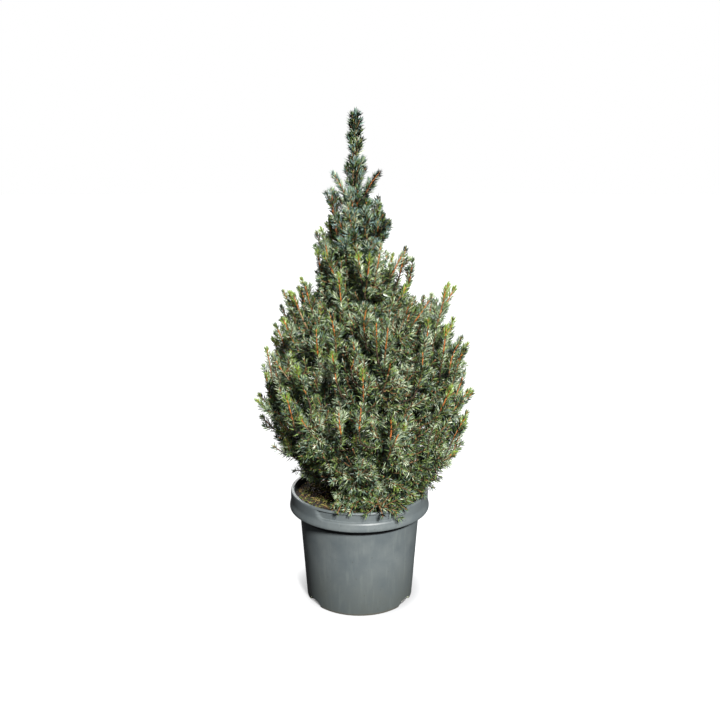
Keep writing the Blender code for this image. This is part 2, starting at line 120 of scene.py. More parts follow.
# %% Colours and nodes
def linear(colour):
    """A hex colour as linear RGBA."""
    parts = [int(colour[i : i + 2], 16) / 255 for i in (1, 3, 5)]
    return [c / 12.92 if c <= 0.04045 else ((c + 0.055) / 1.055) ** 2.4 for c in parts] + [1.0]


def new_material(name, colour, roughness, ior=1.5):
    """A material with plain numbers on its shader, and that shader, for patterns to feed."""
    material = bpy.data.materials.new(name)
    material.use_nodes = True
    material.diffuse_color = linear(colour)
    shader = material.node_tree.nodes["Principled BSDF"]
    shader.inputs["Base Color"].default_value = linear(colour)
    shader.inputs["Roughness"].default_value = roughness
    shader.inputs["IOR"].default_value = ior
    return material, shader


def add_node(material, kind, inputs=None, feeds=None, stops=(), **settings):
    """Adds a node. inputs maps its sockets to values or to other nodes' outputs, feeds maps its
    outputs to the sockets they drive, and stops are the (place, hex colour) pairs of a ramp."""
    tree = material.node_tree
    node = tree.nodes.new(kind)
    for key, value in settings.items():
        setattr(node, key, value)
    for socket, value in (inputs or {}).items():
        if isinstance(value, bpy.types.NodeSocket):
            tree.links.new(value, node.inputs[socket])
        else:
            node.inputs[socket].default_value = value
    for output, socket in (feeds or {}).items():
        tree.links.new(node.outputs[output], socket)
    for number, (place, colour) in enumerate(stops):
        elements = node.color_ramp.elements
        element = elements[number] if number < len(elements) else elements.new(place)
        element.position, element.color = place, linear(colour)
    return node


# %% [markdown]
# ## The floor and the light
#
# The plant stands on a light table: opal acrylic that glows from below, so that shadows on it
# stay faint and the ground stays white. One softbox, in front, a little to the right
# and 35 degrees up, is the key. It draws the dark line under the collar of the pot, rounds the
# pot from right to left, and picks the needles out of the depths between the shoots. A weaker,
# wider one behind lights the plant's back. Both are sun lamps, because these light the table
# evenly out to its edge, and a lamp's angle is the softbox's size as the plant sees it. The
# room looks as white as the table, but gives little light, least from its sides, as with black
# flags there. The table is left out of the light that bounces on the plant, or its glow would
# fill every shadow. The plain Standard view keeps white white.

# %% Floor
FLOOR_RADIUS = 30.0  # m, so that its edge is lost in the white
WHITE = (1.0, 1.0, 1.0, 1.0)
TABLE_GLOW = 0.97
PAINTED_SHADOW_GLOW = 0.36
PAINTED_SHADOW_SPOT = (0.003, 0.018, 0.0)  # the middle of the painted contact shadow on the table, and where it begins and ends
SHADOW_NEAR, SHADOW_FAR = 0.080, 0.135

table, table_shader = new_material("opal_acrylic_light_table", "#6f7072", 0.9)
table_shader.inputs["Specular IOR Level"].default_value = 0.0
table_shader.inputs["Emission Color"].default_value = WHITE
spot = add_node(table, "ShaderNodeTexCoord").outputs["Object"]
from_foot = add_node(
    table, "ShaderNodeVectorMath", {0: spot, 1: PAINTED_SHADOW_SPOT}, operation="DISTANCE"
).outputs["Value"]
add_node(  # painted contact shadow: the table glows less beside and behind the pot's foot
    table, "ShaderNodeMapRange",
    {
        "Value": from_foot, "From Min": SHADOW_NEAR, "From Max": SHADOW_FAR,
        "To Min": PAINTED_SHADOW_GLOW, "To Max": TABLE_GLOW,
    },
    {"Result": table_shader.inputs["Emission Strength"]}, interpolation_type="SMOOTHSTEP",
)
bm = bmesh.new()
bmesh.ops.create_circle(bm, cap_ends=True, segments=96, radius=FLOOR_RADIUS)
floor = piece_from(bm, "studio_floor", table, smooth=False)
floor.visible_diffuse = floor.visible_glossy = False

# %% Light
FILL = 0.28
FLAGS = 0.75  # how much less light comes from the sides of the room than from its middle
UNDER = 0.40  # and from below, beside what comes from above
ROOM = 1.0  # how bright the room looks
LAMP_COLOUR = (1.0, 0.985, 0.96)  # a little warmer than the room
# where each softbox stands, its strength, and its size in radians, the softness of its shadows
SOFTBOXES = {
    "key_softbox": (Vector((0.36, -1.0, 0.745)), 10.5, 0.17),
    "back_softbox": (Vector((-0.10, 1.0, 0.60)), 4.0, 1.00),
}

world = bpy.data.worlds.new("white_room")
world.use_nodes = True
background = world.node_tree.nodes["Background"]
background.inputs["Color"].default_value = WHITE
looking = add_node(world, "ShaderNodeTexCoord").outputs["Generated"]
axes = add_node(world, "ShaderNodeSeparateXYZ", {"Vector": looking}).outputs
aside = add_node(world, "ShaderNodeMath", {0: axes["X"]}, operation="ABSOLUTE").outputs["Value"]
across = add_node(
    world, "ShaderNodeMath", {0: aside, 1: -FILL * FLAGS, 2: FILL}, operation="MULTIPLY_ADD"
).outputs["Value"]
upright = add_node(
    world, "ShaderNodeMapRange", {"Value": axes["Z"], "From Min": -0.2, "From Max": 0.2, "To Min": UNDER}
).outputs["Result"]
fill = add_node(world, "ShaderNodeMath", {0: across, 1: upright}, operation="MULTIPLY").outputs["Value"]
add_node(
    world, "ShaderNodeMix",
    {0: add_node(world, "ShaderNodeLightPath").outputs["Is Camera Ray"], 2: fill, 3: ROOM},
    {0: background.inputs["Strength"]}, data_type="FLOAT",
)
bpy.context.scene.world = world

for name, (place, strength, width) in SOFTBOXES.items():
    lamp = bpy.data.lights.new(name, "SUN")
    lamp.energy, lamp.angle, lamp.color = strength, width, LAMP_COLOUR
    softbox = bpy.data.objects.new(name, lamp)
    softbox.location = place
    softbox.rotation_euler = (-place).to_track_quat("-Z", "Y").to_euler()
    bpy.context.scene.collection.objects.link(softbox)
bpy.context.scene.view_settings.view_transform = "Standard"
print("light:", *SOFTBOXES, "and a room of", FILL)

# %% [markdown]
# ## The pot
#
# A nursery pot is injection-moulded polypropylene: a thin tapering wall, a deep collar to lift
# it by, and a foot ring round a recessed, drained base. It is round, so its section is drawn
# once and spun. Moulded corners are never sharp, so each corner of the section is first
# rounded, and the section is cut into short rows where relief follows.

# %% Sizes of the pot in metres; its wall stands up to 1.8 mm outside the solid's
POT_HEIGHT = 0.186
FOOT_RADIUS = 0.0882
SHOULDER_RADIUS = 0.0994
COLLAR_RADIUS = 0.1150
LIP_RADIUS = 0.1118
LIP_WIDTH = 0.0042
COLLAR_DROP = 0.0310
POT_WALL = 0.0021
FLOOR = 0.0095
FOOT_RING = 0.0090
FOOT_DISC = 0.0230
UNDER_RECESS = 0.0048
SHOULDER = POT_HEIGHT - COLLAR_DROP
LIP_INSIDE = LIP_RADIUS - LIP_WIDTH
POT_STEPS = 288
FRONT = -90.0  # degrees: the front of the pot looks down -Y
COLLAR_WALL = LIP_RADIUS + 0.0013  # the collar's outer face, just under the lip


def body_radius(height):
    """Outer radius of the tapering body."""
    return FOOT_RADIUS + (SHOULDER_RADIUS - FOOT_RADIUS) * height / SHOULDER


# %% The pot's section
# Each row is radius, height, how far the corner is rounded, and the longest row after it.
POT_SECTION = (
    (0.0, FLOOR, 0.0, 0.020),
    (body_radius(FLOOR) - POT_WALL, FLOOR, 0.0012, 0.020),
    (SHOULDER_RADIUS - POT_WALL, SHOULDER, 0.0010, 0.004),
    (LIP_INSIDE - 0.0014, SHOULDER + 0.0030, 0.0012, 0.004),
    (LIP_INSIDE, POT_HEIGHT - 0.0003, 0.0011, 0.004),
    (LIP_RADIUS + 0.0006, POT_HEIGHT, 0.0012, 0.002),
    (COLLAR_WALL, POT_HEIGHT - 0.0028, 0.0004, 0.0006),
    (LIP_RADIUS + 0.0014, SHOULDER + 0.0130, 0.0020, 0.0006),
    (COLLAR_RADIUS + 0.0002, SHOULDER + 0.0042, 0.0018, 0.002),
    (COLLAR_RADIUS, SHOULDER + 0.0012, 0.0008, 0.002),
    (COLLAR_RADIUS - 0.0010, SHOULDER, 0.0007, 0.002),
    (COLLAR_RADIUS - 0.0032, SHOULDER + 0.0004, 0.0005, 0.006),
    (body_radius(SHOULDER), SHOULDER + 0.0016, 0.0008, 0.010),
    (body_radius(0.0120), 0.0120, 0.0, 0.0008),
    (FOOT_RADIUS, 0.0006, 0.0012, 0.0008),
    (FOOT_RADIUS - 0.0012, 0.0, 0.0004, 0.003),
    (FOOT_RADIUS - FOOT_RING, 0.0, 0.0006, 0.003),
    (FOOT_RADIUS - FOOT_RING - 0.0012, UNDER_RECESS, 0.0006, 0.006),
    (FOOT_DISC + 0.0012, UNDER_RECESS, 0.0006, 0.003),
    (FOOT_DISC, 0.0, 0.0006, 0.012),
    (0.0, 0.0, 0.0, 0.0),
)
CORNER_STEPS = 4


def section_points(section):
    """The section as points: corners rounded by a quadratic curve, long runs cut into rows."""
    corners = [Vector(row[:2]) for row in section]
    points = [(corners[0], section[0][3])]
    for before, corner, after, row in zip(corners, corners[1:], corners[2:], section[1:]):
        if not row[2]:
            points.append((corner, row[3]))
            continue
        start = corner + (before - corner).normalized() * row[2]
        end = corner + (after - corner).normalized() * row[2]
        for step in range(CORNER_STEPS + 1):
            share = step / CORNER_STEPS
            curve = start.lerp(corner, share).lerp(corner.lerp(end, share), share)
            points.append((curve, row[3] if step == CORNER_STEPS else 1.0))
    points.append((corners[-1], 0.0))
    made = []
    for (point, longest), (following, _) in zip(points, points[1:]):
        rows = max(1, math.ceil((following - point).length / longest))
        made += [point.lerp(following, k / rows) for k in range(rows)]
    return [*made, points[-1][0]]


def spun(section, steps):
    """A closed bmesh: the section spun round Z."""
    bm = bmesh.new()
    verts = [bm.verts.new((p.x, 0.0, p.y)) for p in section]
    edges = [bm.edges.new(pair) for pair in zip(verts, verts[1:])]
    bmesh.ops.spin(
        bm, geom=[*verts, *edges], axis=(0, 0, 1), cent=(0, 0, 0), angle=2 * math.pi,
        steps=steps, use_merge=True,
    )
    bmesh.ops.remove_doubles(bm, verts=bm.verts, dist=1e-6)
    bmesh.ops.recalc_face_normals(bm, faces=bm.faces)
    return bm


pot_bm = spun(section_points(POT_SECTION), POT_STEPS)
print("pot section spun:", len(pot_bm.faces), "faces")

# %% [markdown]
# ### Relief in the collar and the foot
#
# The mould leaves a flat recessed panel in the front and the back of the collar, where such a
# pot carries nothing or a label, and three notches in the foot that let water out. Their edges
# are soft steps a millimetre or two wide, so the fine rows are simply moved inwards, as far as
# a smooth step of the distance to the outline says. The panel goes down in two steps, which is
# what draws the double line round it.

# %% Panels and notches
PANEL_TURNS = (0, 180)  # degrees from the front
PANEL_HALF_ANGLE = 37.2
PANEL_FOOT = 0.0120
PANEL_DEPTH = 0.0026
PANEL_TOP_GAP = 0.0031
PANEL_CORNER = 0.0150
PANEL_STEPS = ((0.0004, 0.40), (0.0030, 0.60))  # distance inside the outline, share of the depth
PANEL_EDGE = 0.0010
NOTCH_TURNS = (-57, 58, 181)
NOTCH_HALF_ANGLE = 9
NOTCH_HEIGHT = 0.0088
NOTCH_DEPTH = 0.0060
NOTCH_EDGE = 0.0011


def smooth_step(value, low, high):
    share = min(1.0, max(0.0, (value - low) / (high - low)))
    return share * share * (3 - 2 * share)


def turn_from(co, turn):
    """Degrees from this turn of the pot, 0 being its front, to a point."""
    angle = math.degrees(math.atan2(co.y, co.x)) - FRONT - turn
    return (angle + 180) % 360 - 180


def inside_panel(co, turn):
    """How far a point of the collar lies inside the panel's outline, below 0 outside."""
    along = math.radians(PANEL_HALF_ANGLE - abs(turn_from(co, turn))) * COLLAR_RADIUS
    up = co.z - SHOULDER - PANEL_FOOT
    if along < PANEL_CORNER and up < PANEL_CORNER:
        return PANEL_CORNER - math.hypot(PANEL_CORNER - along, PANEL_CORNER - up)
    return min(along, up)


def pull_to(co, radius):
    scale = radius / math.hypot(co.x, co.y)
    co.x, co.y = co.x * scale, co.y * scale


panel_radius = COLLAR_WALL - PANEL_DEPTH
for vertex in pot_bm.verts:
    radius = math.hypot(vertex.co.x, vertex.co.y)
    if radius > LIP_RADIUS and SHOULDER + 0.004 < vertex.co.z < POT_HEIGHT - 0.002:
        under_lip = smooth_step(POT_HEIGHT - PANEL_TOP_GAP - vertex.co.z, -0.0003, 0.0006)
        for turn in PANEL_TURNS:
            inside = inside_panel(vertex.co, turn)
            depth = sum(
                part * smooth_step(inside, start, start + PANEL_EDGE) for start, part in PANEL_STEPS
            )
            if depth > 0:
                pull_to(vertex.co, radius + (panel_radius - radius) * depth * under_lip)
    elif radius > FOOT_RADIUS - 0.003 and vertex.co.z < NOTCH_HEIGHT + 0.002:
        for turn in NOTCH_TURNS:
            half = math.radians(NOTCH_HALF_ANGLE) * FOOT_RADIUS + (NOTCH_HEIGHT / 2 - vertex.co.z)
            along = half - math.radians(abs(turn_from(vertex.co, turn))) * FOOT_RADIUS
            inside = min(along, NOTCH_HEIGHT - vertex.co.z)
            if inside > 0:
                pull_to(vertex.co, radius - NOTCH_DEPTH * smooth_step(inside, 0.0, NOTCH_EDGE))

# %% [markdown]
# ### The finish of the pot
#
# The plastic is a coarse-ground mix of recycled polypropylene, grey with a breath of blue-green,
# moulded against a satin steel mould: it is dull, with a soft broad highlight. A few weeks in a
# nursery leave a film of dust that is thickest near the foot, pale rubbed streaks and small
# dark marks. The dust is painted dark, so near the foot it is painted shade as well, and painted
# shade darkens a band under the collar and the inner wall above the mix. Dust changes both the
# colour and the gloss, so the same masks feed both.


# %% Patterns and masks of the plastic
# the top of a band of painted shade on the wall under the collar, where the collar's shadow falls
COLLAR_SHADE_TOP = SHOULDER + 0.0002

plastic, plastic_shader = new_material("moulded_grey_polypropylene", "#525858", 0.42, 1.49)
plastic_shader.inputs["Specular IOR Level"].default_value = 0.35  # its film of dust takes gloss away
here = add_node(plastic, "ShaderNodeTexCoord").outputs["Object"]
height = add_node(plastic, "ShaderNodeSeparateXYZ", {"Vector": here}).outputs["Z"]
upright, flat = (
    add_node(plastic, "ShaderNodeMapping", {"Vector": here, "Scale": (1.0, 1.0, tall)}).outputs["Vector"]
    for tall in (0.10, 0.0)
)
from_axis = add_node(plastic, "ShaderNodeVectorMath", {0: flat}, operation="LENGTH").outputs["Value"]
clouds, streaks, specks, grain = (
    add_node(
        plastic, "ShaderNodeTexNoise",
        {"Vector": space, "Scale": scale, "Detail": detail, "Roughness": roughness},
    ).outputs["Fac"]
    for space, scale, detail, roughness in (
        (here, 25.0, 4.0, 0.60),  # handling and recycled stock leave patches about 40 mm across
        (upright, 170.0, 3.0, 0.55),  # rubbed streaks run up the wall, 4 to 6 mm wide
        (here, 230.0, 1.0, 0.50),  # splashes and scuffs of 2 to 4 mm
        (here, 1000.0, 1.0, 0.50),  # the satin grain, 0.4 mm on the pot, at 1 mm so that it shows
    )
)
low_wall, streak_mask, speck_mask, under_collar, inner_wall, splash = (
    add_node(
        plastic, "ShaderNodeMapRange", {"Value": value, "From Min": none, "From Max": full, "To Max": most}
    ).outputs["Result"]
    for value, none, full, most in (
        (height, 0.090, 0.0, 1.0),  # dust, painted dark as painted shade too, thins out from the foot to 90 mm up
        (streaks, 0.54, 0.80, 0.30),
        (specks, 0.70, 0.78, 0.45),
        (height, COLLAR_SHADE_TOP - 0.0125, COLLAR_SHADE_TOP - 0.0110, 0.96),  # painted shade under the collar, a band 12 mm high
        (from_axis, LIP_INSIDE + 0.0008, LIP_INSIDE, 0.80),  # painted shade on the inner wall above the mix
        (height, 0.0045, 0.0010, 0.60),  # watering leaves a line of earth, 4 mm high, at the foot
    )
)
below_ledge, above_shoulder = (
    add_node(plastic, "ShaderNodeMath", {0: height, 1: limit}, operation=side).outputs["Value"]
    for limit, side in ((COLLAR_SHADE_TOP, "LESS_THAN"), (SHOULDER + 0.002, "GREATER_THAN"))
)
dust_and_shade, painted_collar_shade, painted_inner_shade = (
    add_node(plastic, "ShaderNodeMath", {0: mask, 1: where}, operation="MULTIPLY").outputs["Value"]
    for mask, where in ((low_wall, clouds), (under_collar, below_ledge), (inner_wall, above_shoulder))
)
print("plastic:", len(plastic.node_tree.nodes), "nodes for its masks")

# %% Moulded polypropylene, coat over coat
colour = add_node(
    plastic, "ShaderNodeValToRGB", {"Fac": clouds}, stops=((0.30, "#484f52"), (0.70, "#565c5d"))
).outputs["Color"]
# coats: rubbed streaks, dust painted dark as painted shade, dark marks, painted shade under the collar and on
# the inner wall, and a line of earth at the foot
for mask, coat in (
    (streak_mask, "#6b726f"), (dust_and_shade, "#2f322c"), (speck_mask, "#3a3d38"),
    (painted_collar_shade, "#15171a"), (painted_inner_shade, "#1b2023"), (splash, "#4a4233"),
):
    colour = add_node(
        plastic, "ShaderNodeMix", {0: mask, 6: colour, 7: linear(coat)}, data_type="RGBA"
    ).outputs[2]
plastic.node_tree.links.new(colour, plastic_shader.inputs["Base Color"])
add_node(  # dust and rubbing both dull the satin
    plastic, "ShaderNodeMapRange", {"Value": clouds, "To Min": 0.34, "To Max": 0.54},
    {"Result": plastic_shader.inputs["Roughness"]},
)
add_node(
    plastic, "ShaderNodeBump", {"Height": grain, "Strength": 0.25, "Distance": 0.0002},
    {"Normal": plastic_shader.inputs["Normal"]},
)

# %% The pot, with its drain holes cut
DRAIN_HOLES = 6
DRAIN_RADIUS = 0.0050
DRAIN_TURN = 13  # degrees
CRISP = 38  # degrees: past this an edge of the moulding stays crisp
PALE_NOTCH_DEPTHS = (0.0015, 0.0068)  # the pale faces, limescale and painted light, lie this far inside the wall's face

limed_and_painted_light, _ = new_material("limed_and_painted_light_polypropylene", "#989e8a", 0.7, 1.49)  # hard water dries in the notches, and their faces are painted pale as painted light too
for face in pot_bm.faces:
    middle = face.calc_center_median()
    inset = body_radius(middle.z) - math.hypot(middle.x, middle.y)
    in_notch = PALE_NOTCH_DEPTHS[0] < inset < PALE_NOTCH_DEPTHS[1]
    face.material_index = int(0.0006 < middle.z < NOTCH_HEIGHT and in_notch)
pot = piece_from(pot_bm, "pot_moulded_shell", plastic, sharp=CRISP)
pot.data.materials.append(limed_and_painted_light)
drill_bm = bmesh.new()
away = (FOOT_DISC + FOOT_RADIUS - FOOT_RING) / 2
for number in range(DRAIN_HOLES):
    turn = Matrix.Rotation(2 * math.pi * number / DRAIN_HOLES + math.radians(DRAIN_TURN), 4, "Z")
    bmesh.ops.create_cone(
        drill_bm, cap_ends=True, segments=24, radius1=DRAIN_RADIUS, radius2=DRAIN_RADIUS,
        depth=4 * FLOOR, matrix=turn @ Matrix.Translation((away, 0, 0)),
    )
drill = piece_from(drill_bm, "drain_drill", plastic)
cut = pot.modifiers.new("drain holes", "BOOLEAN")
cut.operation, cut.object, cut.solver = "DIFFERENCE", drill, "EXACT"
graph = bpy.context.evaluated_depsgraph_get()
drained = bpy.data.meshes.new_from_object(pot.evaluated_get(graph))
pot.modifiers.clear()
pot.data = drained
drained.name = "pot_moulded_shell"
drained.set_sharp_from_angle(angle=math.radians(CRISP))
bpy.data.objects.remove(drill, do_unlink=True)
dress(pot, ["pot"])

# %% [markdown]
# ## The potting mix
#
# Under the crown lies a coarse mix of peat and composted bark, a finger's width below the rim.
# Its surface is a bed of lumps, with chips of bark, spent needles and a little moss on it. The
# bed is one spun solid whose top is pushed up and down by noise at the size of the lumps. The
# loose bits are a few small shapes, repeated.

# %% The bed
GROUND = 0.1760
MIX_EDGE_DROP = 0.0020
WALL_GAP = 0.0005
BED_STEPS = 128
LUMP_SIZE, LUMP_RISE = 0.011, 0.0012
CRUMB_SIZE, CRUMB_RISE = 0.0035, 0.0008

peat, peat_shader = new_material("peat_and_composted_bark", "#2e241a", 0.95, 1.45)
here = add_node(peat, "ShaderNodeTexCoord").outputs["Object"]
lumps = add_node(  # lumps of 5 mm
    peat, "ShaderNodeTexNoise", {"Vector": here, "Scale": 200.0, "Detail": 5.0, "Roughness": 0.7}
).outputs["Fac"]
crumbs = add_node(  # fibres and grit of 1 mm
    peat, "ShaderNodeTexVoronoi", {"Vector": here, "Scale": 900.0}
).outputs["Distance"]
add_node(
    peat, "ShaderNodeValToRGB", {"Fac": lumps}, {"Color": peat_shader.inputs["Base Color"]},
    stops=((0.30, "#0b0806"), (0.52, "#1d1610"), (0.62, "#2f251a"), (0.75, "#3c301f")),
)
add_node(
    peat, "ShaderNodeBump", {"Height": crumbs, "Strength": 0.8, "Distance": 0.0008},
    {"Normal": peat_shader.inputs["Normal"]},
)

edge = LIP_INSIDE - 0.0006 - WALL_GAP
bed_section = (
    (0.0, GROUND, 0.0, 0.0022),
    (edge, GROUND - MIX_EDGE_DROP, 0.0006, 0.003),
    (edge - 0.0010, SHOULDER + 0.0036, 0.0004, 0.004),
    (SHOULDER_RADIUS - POT_WALL - WALL_GAP, SHOULDER + 0.0006, 0.0004, 0.030),
    (body_radius(FLOOR) - POT_WALL - WALL_GAP, FLOOR + 0.0003, 0.0004, 0.040),
    (0.0, FLOOR + 0.0003, 0.0, 0.0),
)


def bed_height(x, y):
    """The top of the potting mix at a place: a slight fall to the rim, lumps and crumbs."""
    lump = noise.noise(Vector((x, y, 0.3)) / LUMP_SIZE)
    crumb = noise.noise(Vector((x, y, 7.7)) / CRUMB_SIZE)
    fall = MIX_EDGE_DROP * min(1.0, math.hypot(x, y) / edge) ** 4
    return GROUND - fall + LUMP_RISE * lump + CRUMB_RISE * crumb


bed_bm = spun(section_points(bed_section), BED_STEPS)
for vertex in bed_bm.verts:
    if vertex.co.z > GROUND - 1.2 * MIX_EDGE_DROP:
        vertex.co.z = bed_height(vertex.co.x, vertex.co.y)
bed = piece_from(bed_bm, "potting_mix_bed", peat)
dress(bed, ["potting_mix"])

# %% [markdown]
# ### Many copies of a small shape
#
# Hundreds of chips and tens of thousands of needles would be slow as objects, and an export
# drops instances. So each small shape is made once, and its copies are laid into one mesh from
# arrays: every copy has an origin and three axes, and a point of the shape is a sum of them.


# %% Joined copies
def shape_arrays(bm):
    """The corners and faces of a small shape. All its faces have the same number of corners."""
    bm.verts.ensure_lookup_table()
    points = np.array([tuple(v.co) for v in bm.verts])
    faces = np.array([[v.index for v in face.verts] for face in bm.faces])
    bm.free()
    return points, faces


def joined_mesh(name, points, faces):
    """A mesh from arrays: points (n, 3), and faces (m, corners)."""
    mesh = bpy.data.meshes.new(name)
    count, corners = faces.shape
    mesh.vertices.add(len(points))
    mesh.vertices.foreach_set("co", points.astype(np.float32).ravel())
    mesh.loops.add(count * corners)
    mesh.loops.foreach_set("vertex_index", faces.astype(np.int32).ravel())
    mesh.polygons.add(count)
    mesh.polygons.foreach_set("loop_start", np.arange(0, count * corners, corners, dtype=np.int32))
    mesh.update(calc_edges=True)
    mesh.validate()
    return mesh


def joined_piece(label, points, faces, finish, nodes=(), smooth=False):
    """A dressed piece from arrays."""
    dress(piece(joined_mesh(label, points, faces), label, finish, smooth), nodes)


def laid_copies(shape, origins, axes):
    """Points and faces of every copy. origins is (n, 3) and axes (n, 3, 3), one row an axis."""
    corners, faces = shape
    points = origins[:, None] + np.einsum("ck,nkd->ncd", corners, axes)
    step = np.arange(len(origins)) * len(corners)
    return points.reshape(-1, 3), (faces[None] + step[:, None, None]).reshape(-1, faces.shape[1])


def turned_axes(rng, count, tilt, sizes):
    """Random axes: turned any way round Z, tipped by up to tilt radians, and scaled."""
    turn = rng.uniform(0, 2 * math.pi, count)
    tip = rng.uniform(-tilt, tilt, (2, count))
    along = np.stack([np.cos(turn), np.sin(turn), np.sin(tip[0])], 1)
    side = np.stack([-np.sin(turn), np.cos(turn), np.sin(tip[1])], 1)
    along /= np.linalg.norm(along, axis=1)[:, None]
    up = np.cross(along, side)
    up /= np.linalg.norm(up, axis=1)[:, None]
    side = np.cross(up, along)
    return np.stack([along * sizes[:, :1], side * sizes[:, 1:2], up * sizes[:, 2:]], 1)


# %% Bark chips, spent needles and moss on the bed
CHIP_COUNT = 620
SPENT_COUNT = 900
MOSS_TUFTS, MOSS_BLADES = 130, 16
MOSS_SPREAD, MOSS_LEAN, MOSS_WIDTH = 0.0016, 0.45, 0.0011
MOSS_HEIGHTS = (0.0018, 0.0042)
litter_rng = np.random.default_rng(11)


def bed_places(count, rng, lift):
    """Places on the bed, even over its area, clear of the trunk's foot and of the rim."""
    away = np.sqrt(rng.uniform(0.022**2, (edge - 0.005) ** 2, count))
    turn = rng.uniform(0, 2 * math.pi, count)
    x, y = away * np.cos(turn), away * np.sin(turn)
    heights = [bed_height(a, b) + lift for a, b in zip(x, y)]
    return np.stack([x, y, heights], 1)


chip_bm = bmesh.new()  # a flake of bark: a block, its corners knocked off and its top narrower
bmesh.ops.create_cube(chip_bm, size=1.0)
bmesh.ops.scale(
    chip_bm, vec=(0.72, 0.60, 1.0), verts=[v for v in chip_bm.verts if v.co.z > 0]
)
bmesh.ops.triangulate(chip_bm, faces=chip_bm.faces)
chip_shape = shape_arrays(chip_bm)


def strew(label, shape, finish, count, lift, tilt, smallest, largest):
    """A piece of loose bits on the bed, tipped by up to tilt radians, between two sizes."""
    sizes = litter_rng.uniform(smallest, largest, (count, 3))
    places = bed_places(count, litter_rng, lift)
    points, faces = laid_copies(shape, places, turned_axes(litter_rng, count, tilt, sizes))
    joined_piece(label, points, faces, finish)


CHIP_KINDS = (("dark", "#221911", 0.62), ("tan", "#64502f", 0.20), ("ochre", "#645e2b", 0.18))
for name, colour, share in CHIP_KINDS:
    finish, _ = new_material(f"composted_bark_{name}", colour, 0.9, 1.45)
    strew(
        f"bark_chips_{name}", chip_shape, finish, int(CHIP_COUNT * share), lift=0.0008, tilt=0.5,
        smallest=(0.0030, 0.0016, 0.0008), largest=(0.0095, 0.0045, 0.0020),
    )

spike_bm = bmesh.new()  # a spindle: a three-sided cone with its base drawn out to a point
bmesh.ops.create_cone(
    spike_bm, cap_ends=True, segments=3, radius1=0.5, radius2=0.0, depth=0.6,
    matrix=Matrix.Translation((0, 0, 0.7)),
)
bmesh.ops.remove_doubles(spike_bm, verts=spike_bm.verts, dist=1e-5)
base = min(spike_bm.faces, key=lambda face: face.calc_center_median().z)
root = bmesh.ops.poke(spike_bm, faces=[base])["verts"][0]
root.co.z = 0.0
spindle = shape_arrays(spike_bm)
print("needle shape:", len(spindle[0]), "corners,", len(spindle[1]), "faces")

lying_spindle = spindle[0][:, [2, 0, 1]], spindle[1]  # the same spindle along its first axis
SPENT_KINDS = (("straw", "#857544", 0.40), ("rust", "#583722", 0.35), ("green", "#5d6a2c", 0.25))
for name, colour, share in SPENT_KINDS:
    finish, _ = new_material(f"spent_needle_{name}", colour, 0.8, 1.45)
    strew(
        f"spent_needles_{name}", lying_spindle, finish, int(SPENT_COUNT * share), lift=0.0014,
        tilt=0.25, smallest=(0.007, 0.0012, 0.0010), largest=(0.012, 0.0017, 0.0014),
    )

moss_finish, _ = new_material("cushion_moss", "#454f1c", 0.9, 1.45)
tufts = bed_places(MOSS_TUFTS, litter_rng, -0.0004).repeat(MOSS_BLADES, 0)
tufts[:, :2] += litter_rng.normal(0, MOSS_SPREAD, (len(tufts), 2))
lean = litter_rng.normal(0, MOSS_LEAN, (len(tufts), 2))
blade = np.stack([lean[:, 0], lean[:, 1], np.ones(len(tufts))], 1)
blade *= litter_rng.uniform(*MOSS_HEIGHTS, (len(tufts), 1))
axes = np.zeros((len(tufts), 3, 3))
axes[:, 0, 0] = axes[:, 1, 1] = MOSS_WIDTH
axes[:, 2] = blade
points, faces = laid_copies(spindle, tufts, axes)
joined_piece("moss_tufts", points, faces, moss_finish)

# %% [markdown]
# ## How the tree grows
#
# The solids follow one seeded rule, and the same rule is written again here, so that every limb
# lies along its solid: the trunk leans and bows a little; each mass has one bough that leaves
# the trunk at its root, runs out to a knee and turns up to its tip; tiers of masses stand above
# each other, each turned round the trunk; and the crown has a radius at each height.

# %% The rule of the solids
TRUNK_FOOT = Vector((0.0040, 0.0020, GROUND))
TRUNK_TIP = Vector((-0.0060, 0.0, 0.7120))
TRUNK_BOW = 0.0045
TRUNK_RADIUS = 0.0098
TRUNK_TIP_RADIUS = 0.0012
FLARE = 1.55
FLARE_HEIGHT = 0.0120
TREE_TOP = 0.7880
SEED = 37
BOUGH_RADIUS = 0.0030
TWIG_RADIUS = 0.0016
GOLDEN_ANGLE = math.radians(137.5)
DROOP_HEIGHT = 0.185
FULL_LIFT_HEIGHT = 0.300
STEM_STEPS = 80
KNEE_OUT, KNEE_UP = 0.66, 0.22  # where a stem turns up: shares of its run and of its rise
TUFT_NEEDLES = 0.006  # the leader's wood ends this far below the top

# height, radius of the crown there, and how far its middle lies to the right
CROWN = (
    (0.165, 0.122, 0.012), (0.200, 0.132, 0.014), (0.250, 0.150, 0.018), (0.300, 0.175, 0.010),
    (0.350, 0.184, 0.008), (0.440, 0.170, 0.010), (0.528, 0.140, 0.012), (0.545, 0.098, 0.010),
    (0.600, 0.070, 0.004), (0.660, 0.049, -0.004), (0.704, 0.043, -0.006), (0.716, 0.020, -0.006),
    (0.790, 0.011, -0.006),
)
Tier = namedtuple("Tier", "name masses turn root tip reach bough places")
TIERS = (
    Tier("skirt", 5, -82, 0.212, 0.194, 0.99, False, 6),
    Tier("low", 6, 22, 0.216, 0.268, 0.98, False, 6),
    Tier("wide", 6, -6, 0.250, 0.346, 0.97, True, 6),
    Tier("mid", 6, -22, 0.306, 0.430, 0.97, True, 6),
    Tier("high", 5, 5, 0.372, 0.515, 0.96, True, 5),
    Tier("shoulder", 4, 28, 0.452, 0.594, 0.96, False, 4),
    Tier("neck", 3, -20, 0.530, 0.650, 0.94, False, 3),
    Tier("spire", 2, 14, 0.596, 0.702, 0.92, False, 2),
    Tier("leader", 2, 70, 0.620, 0.738, 0.60, False, 2),
)
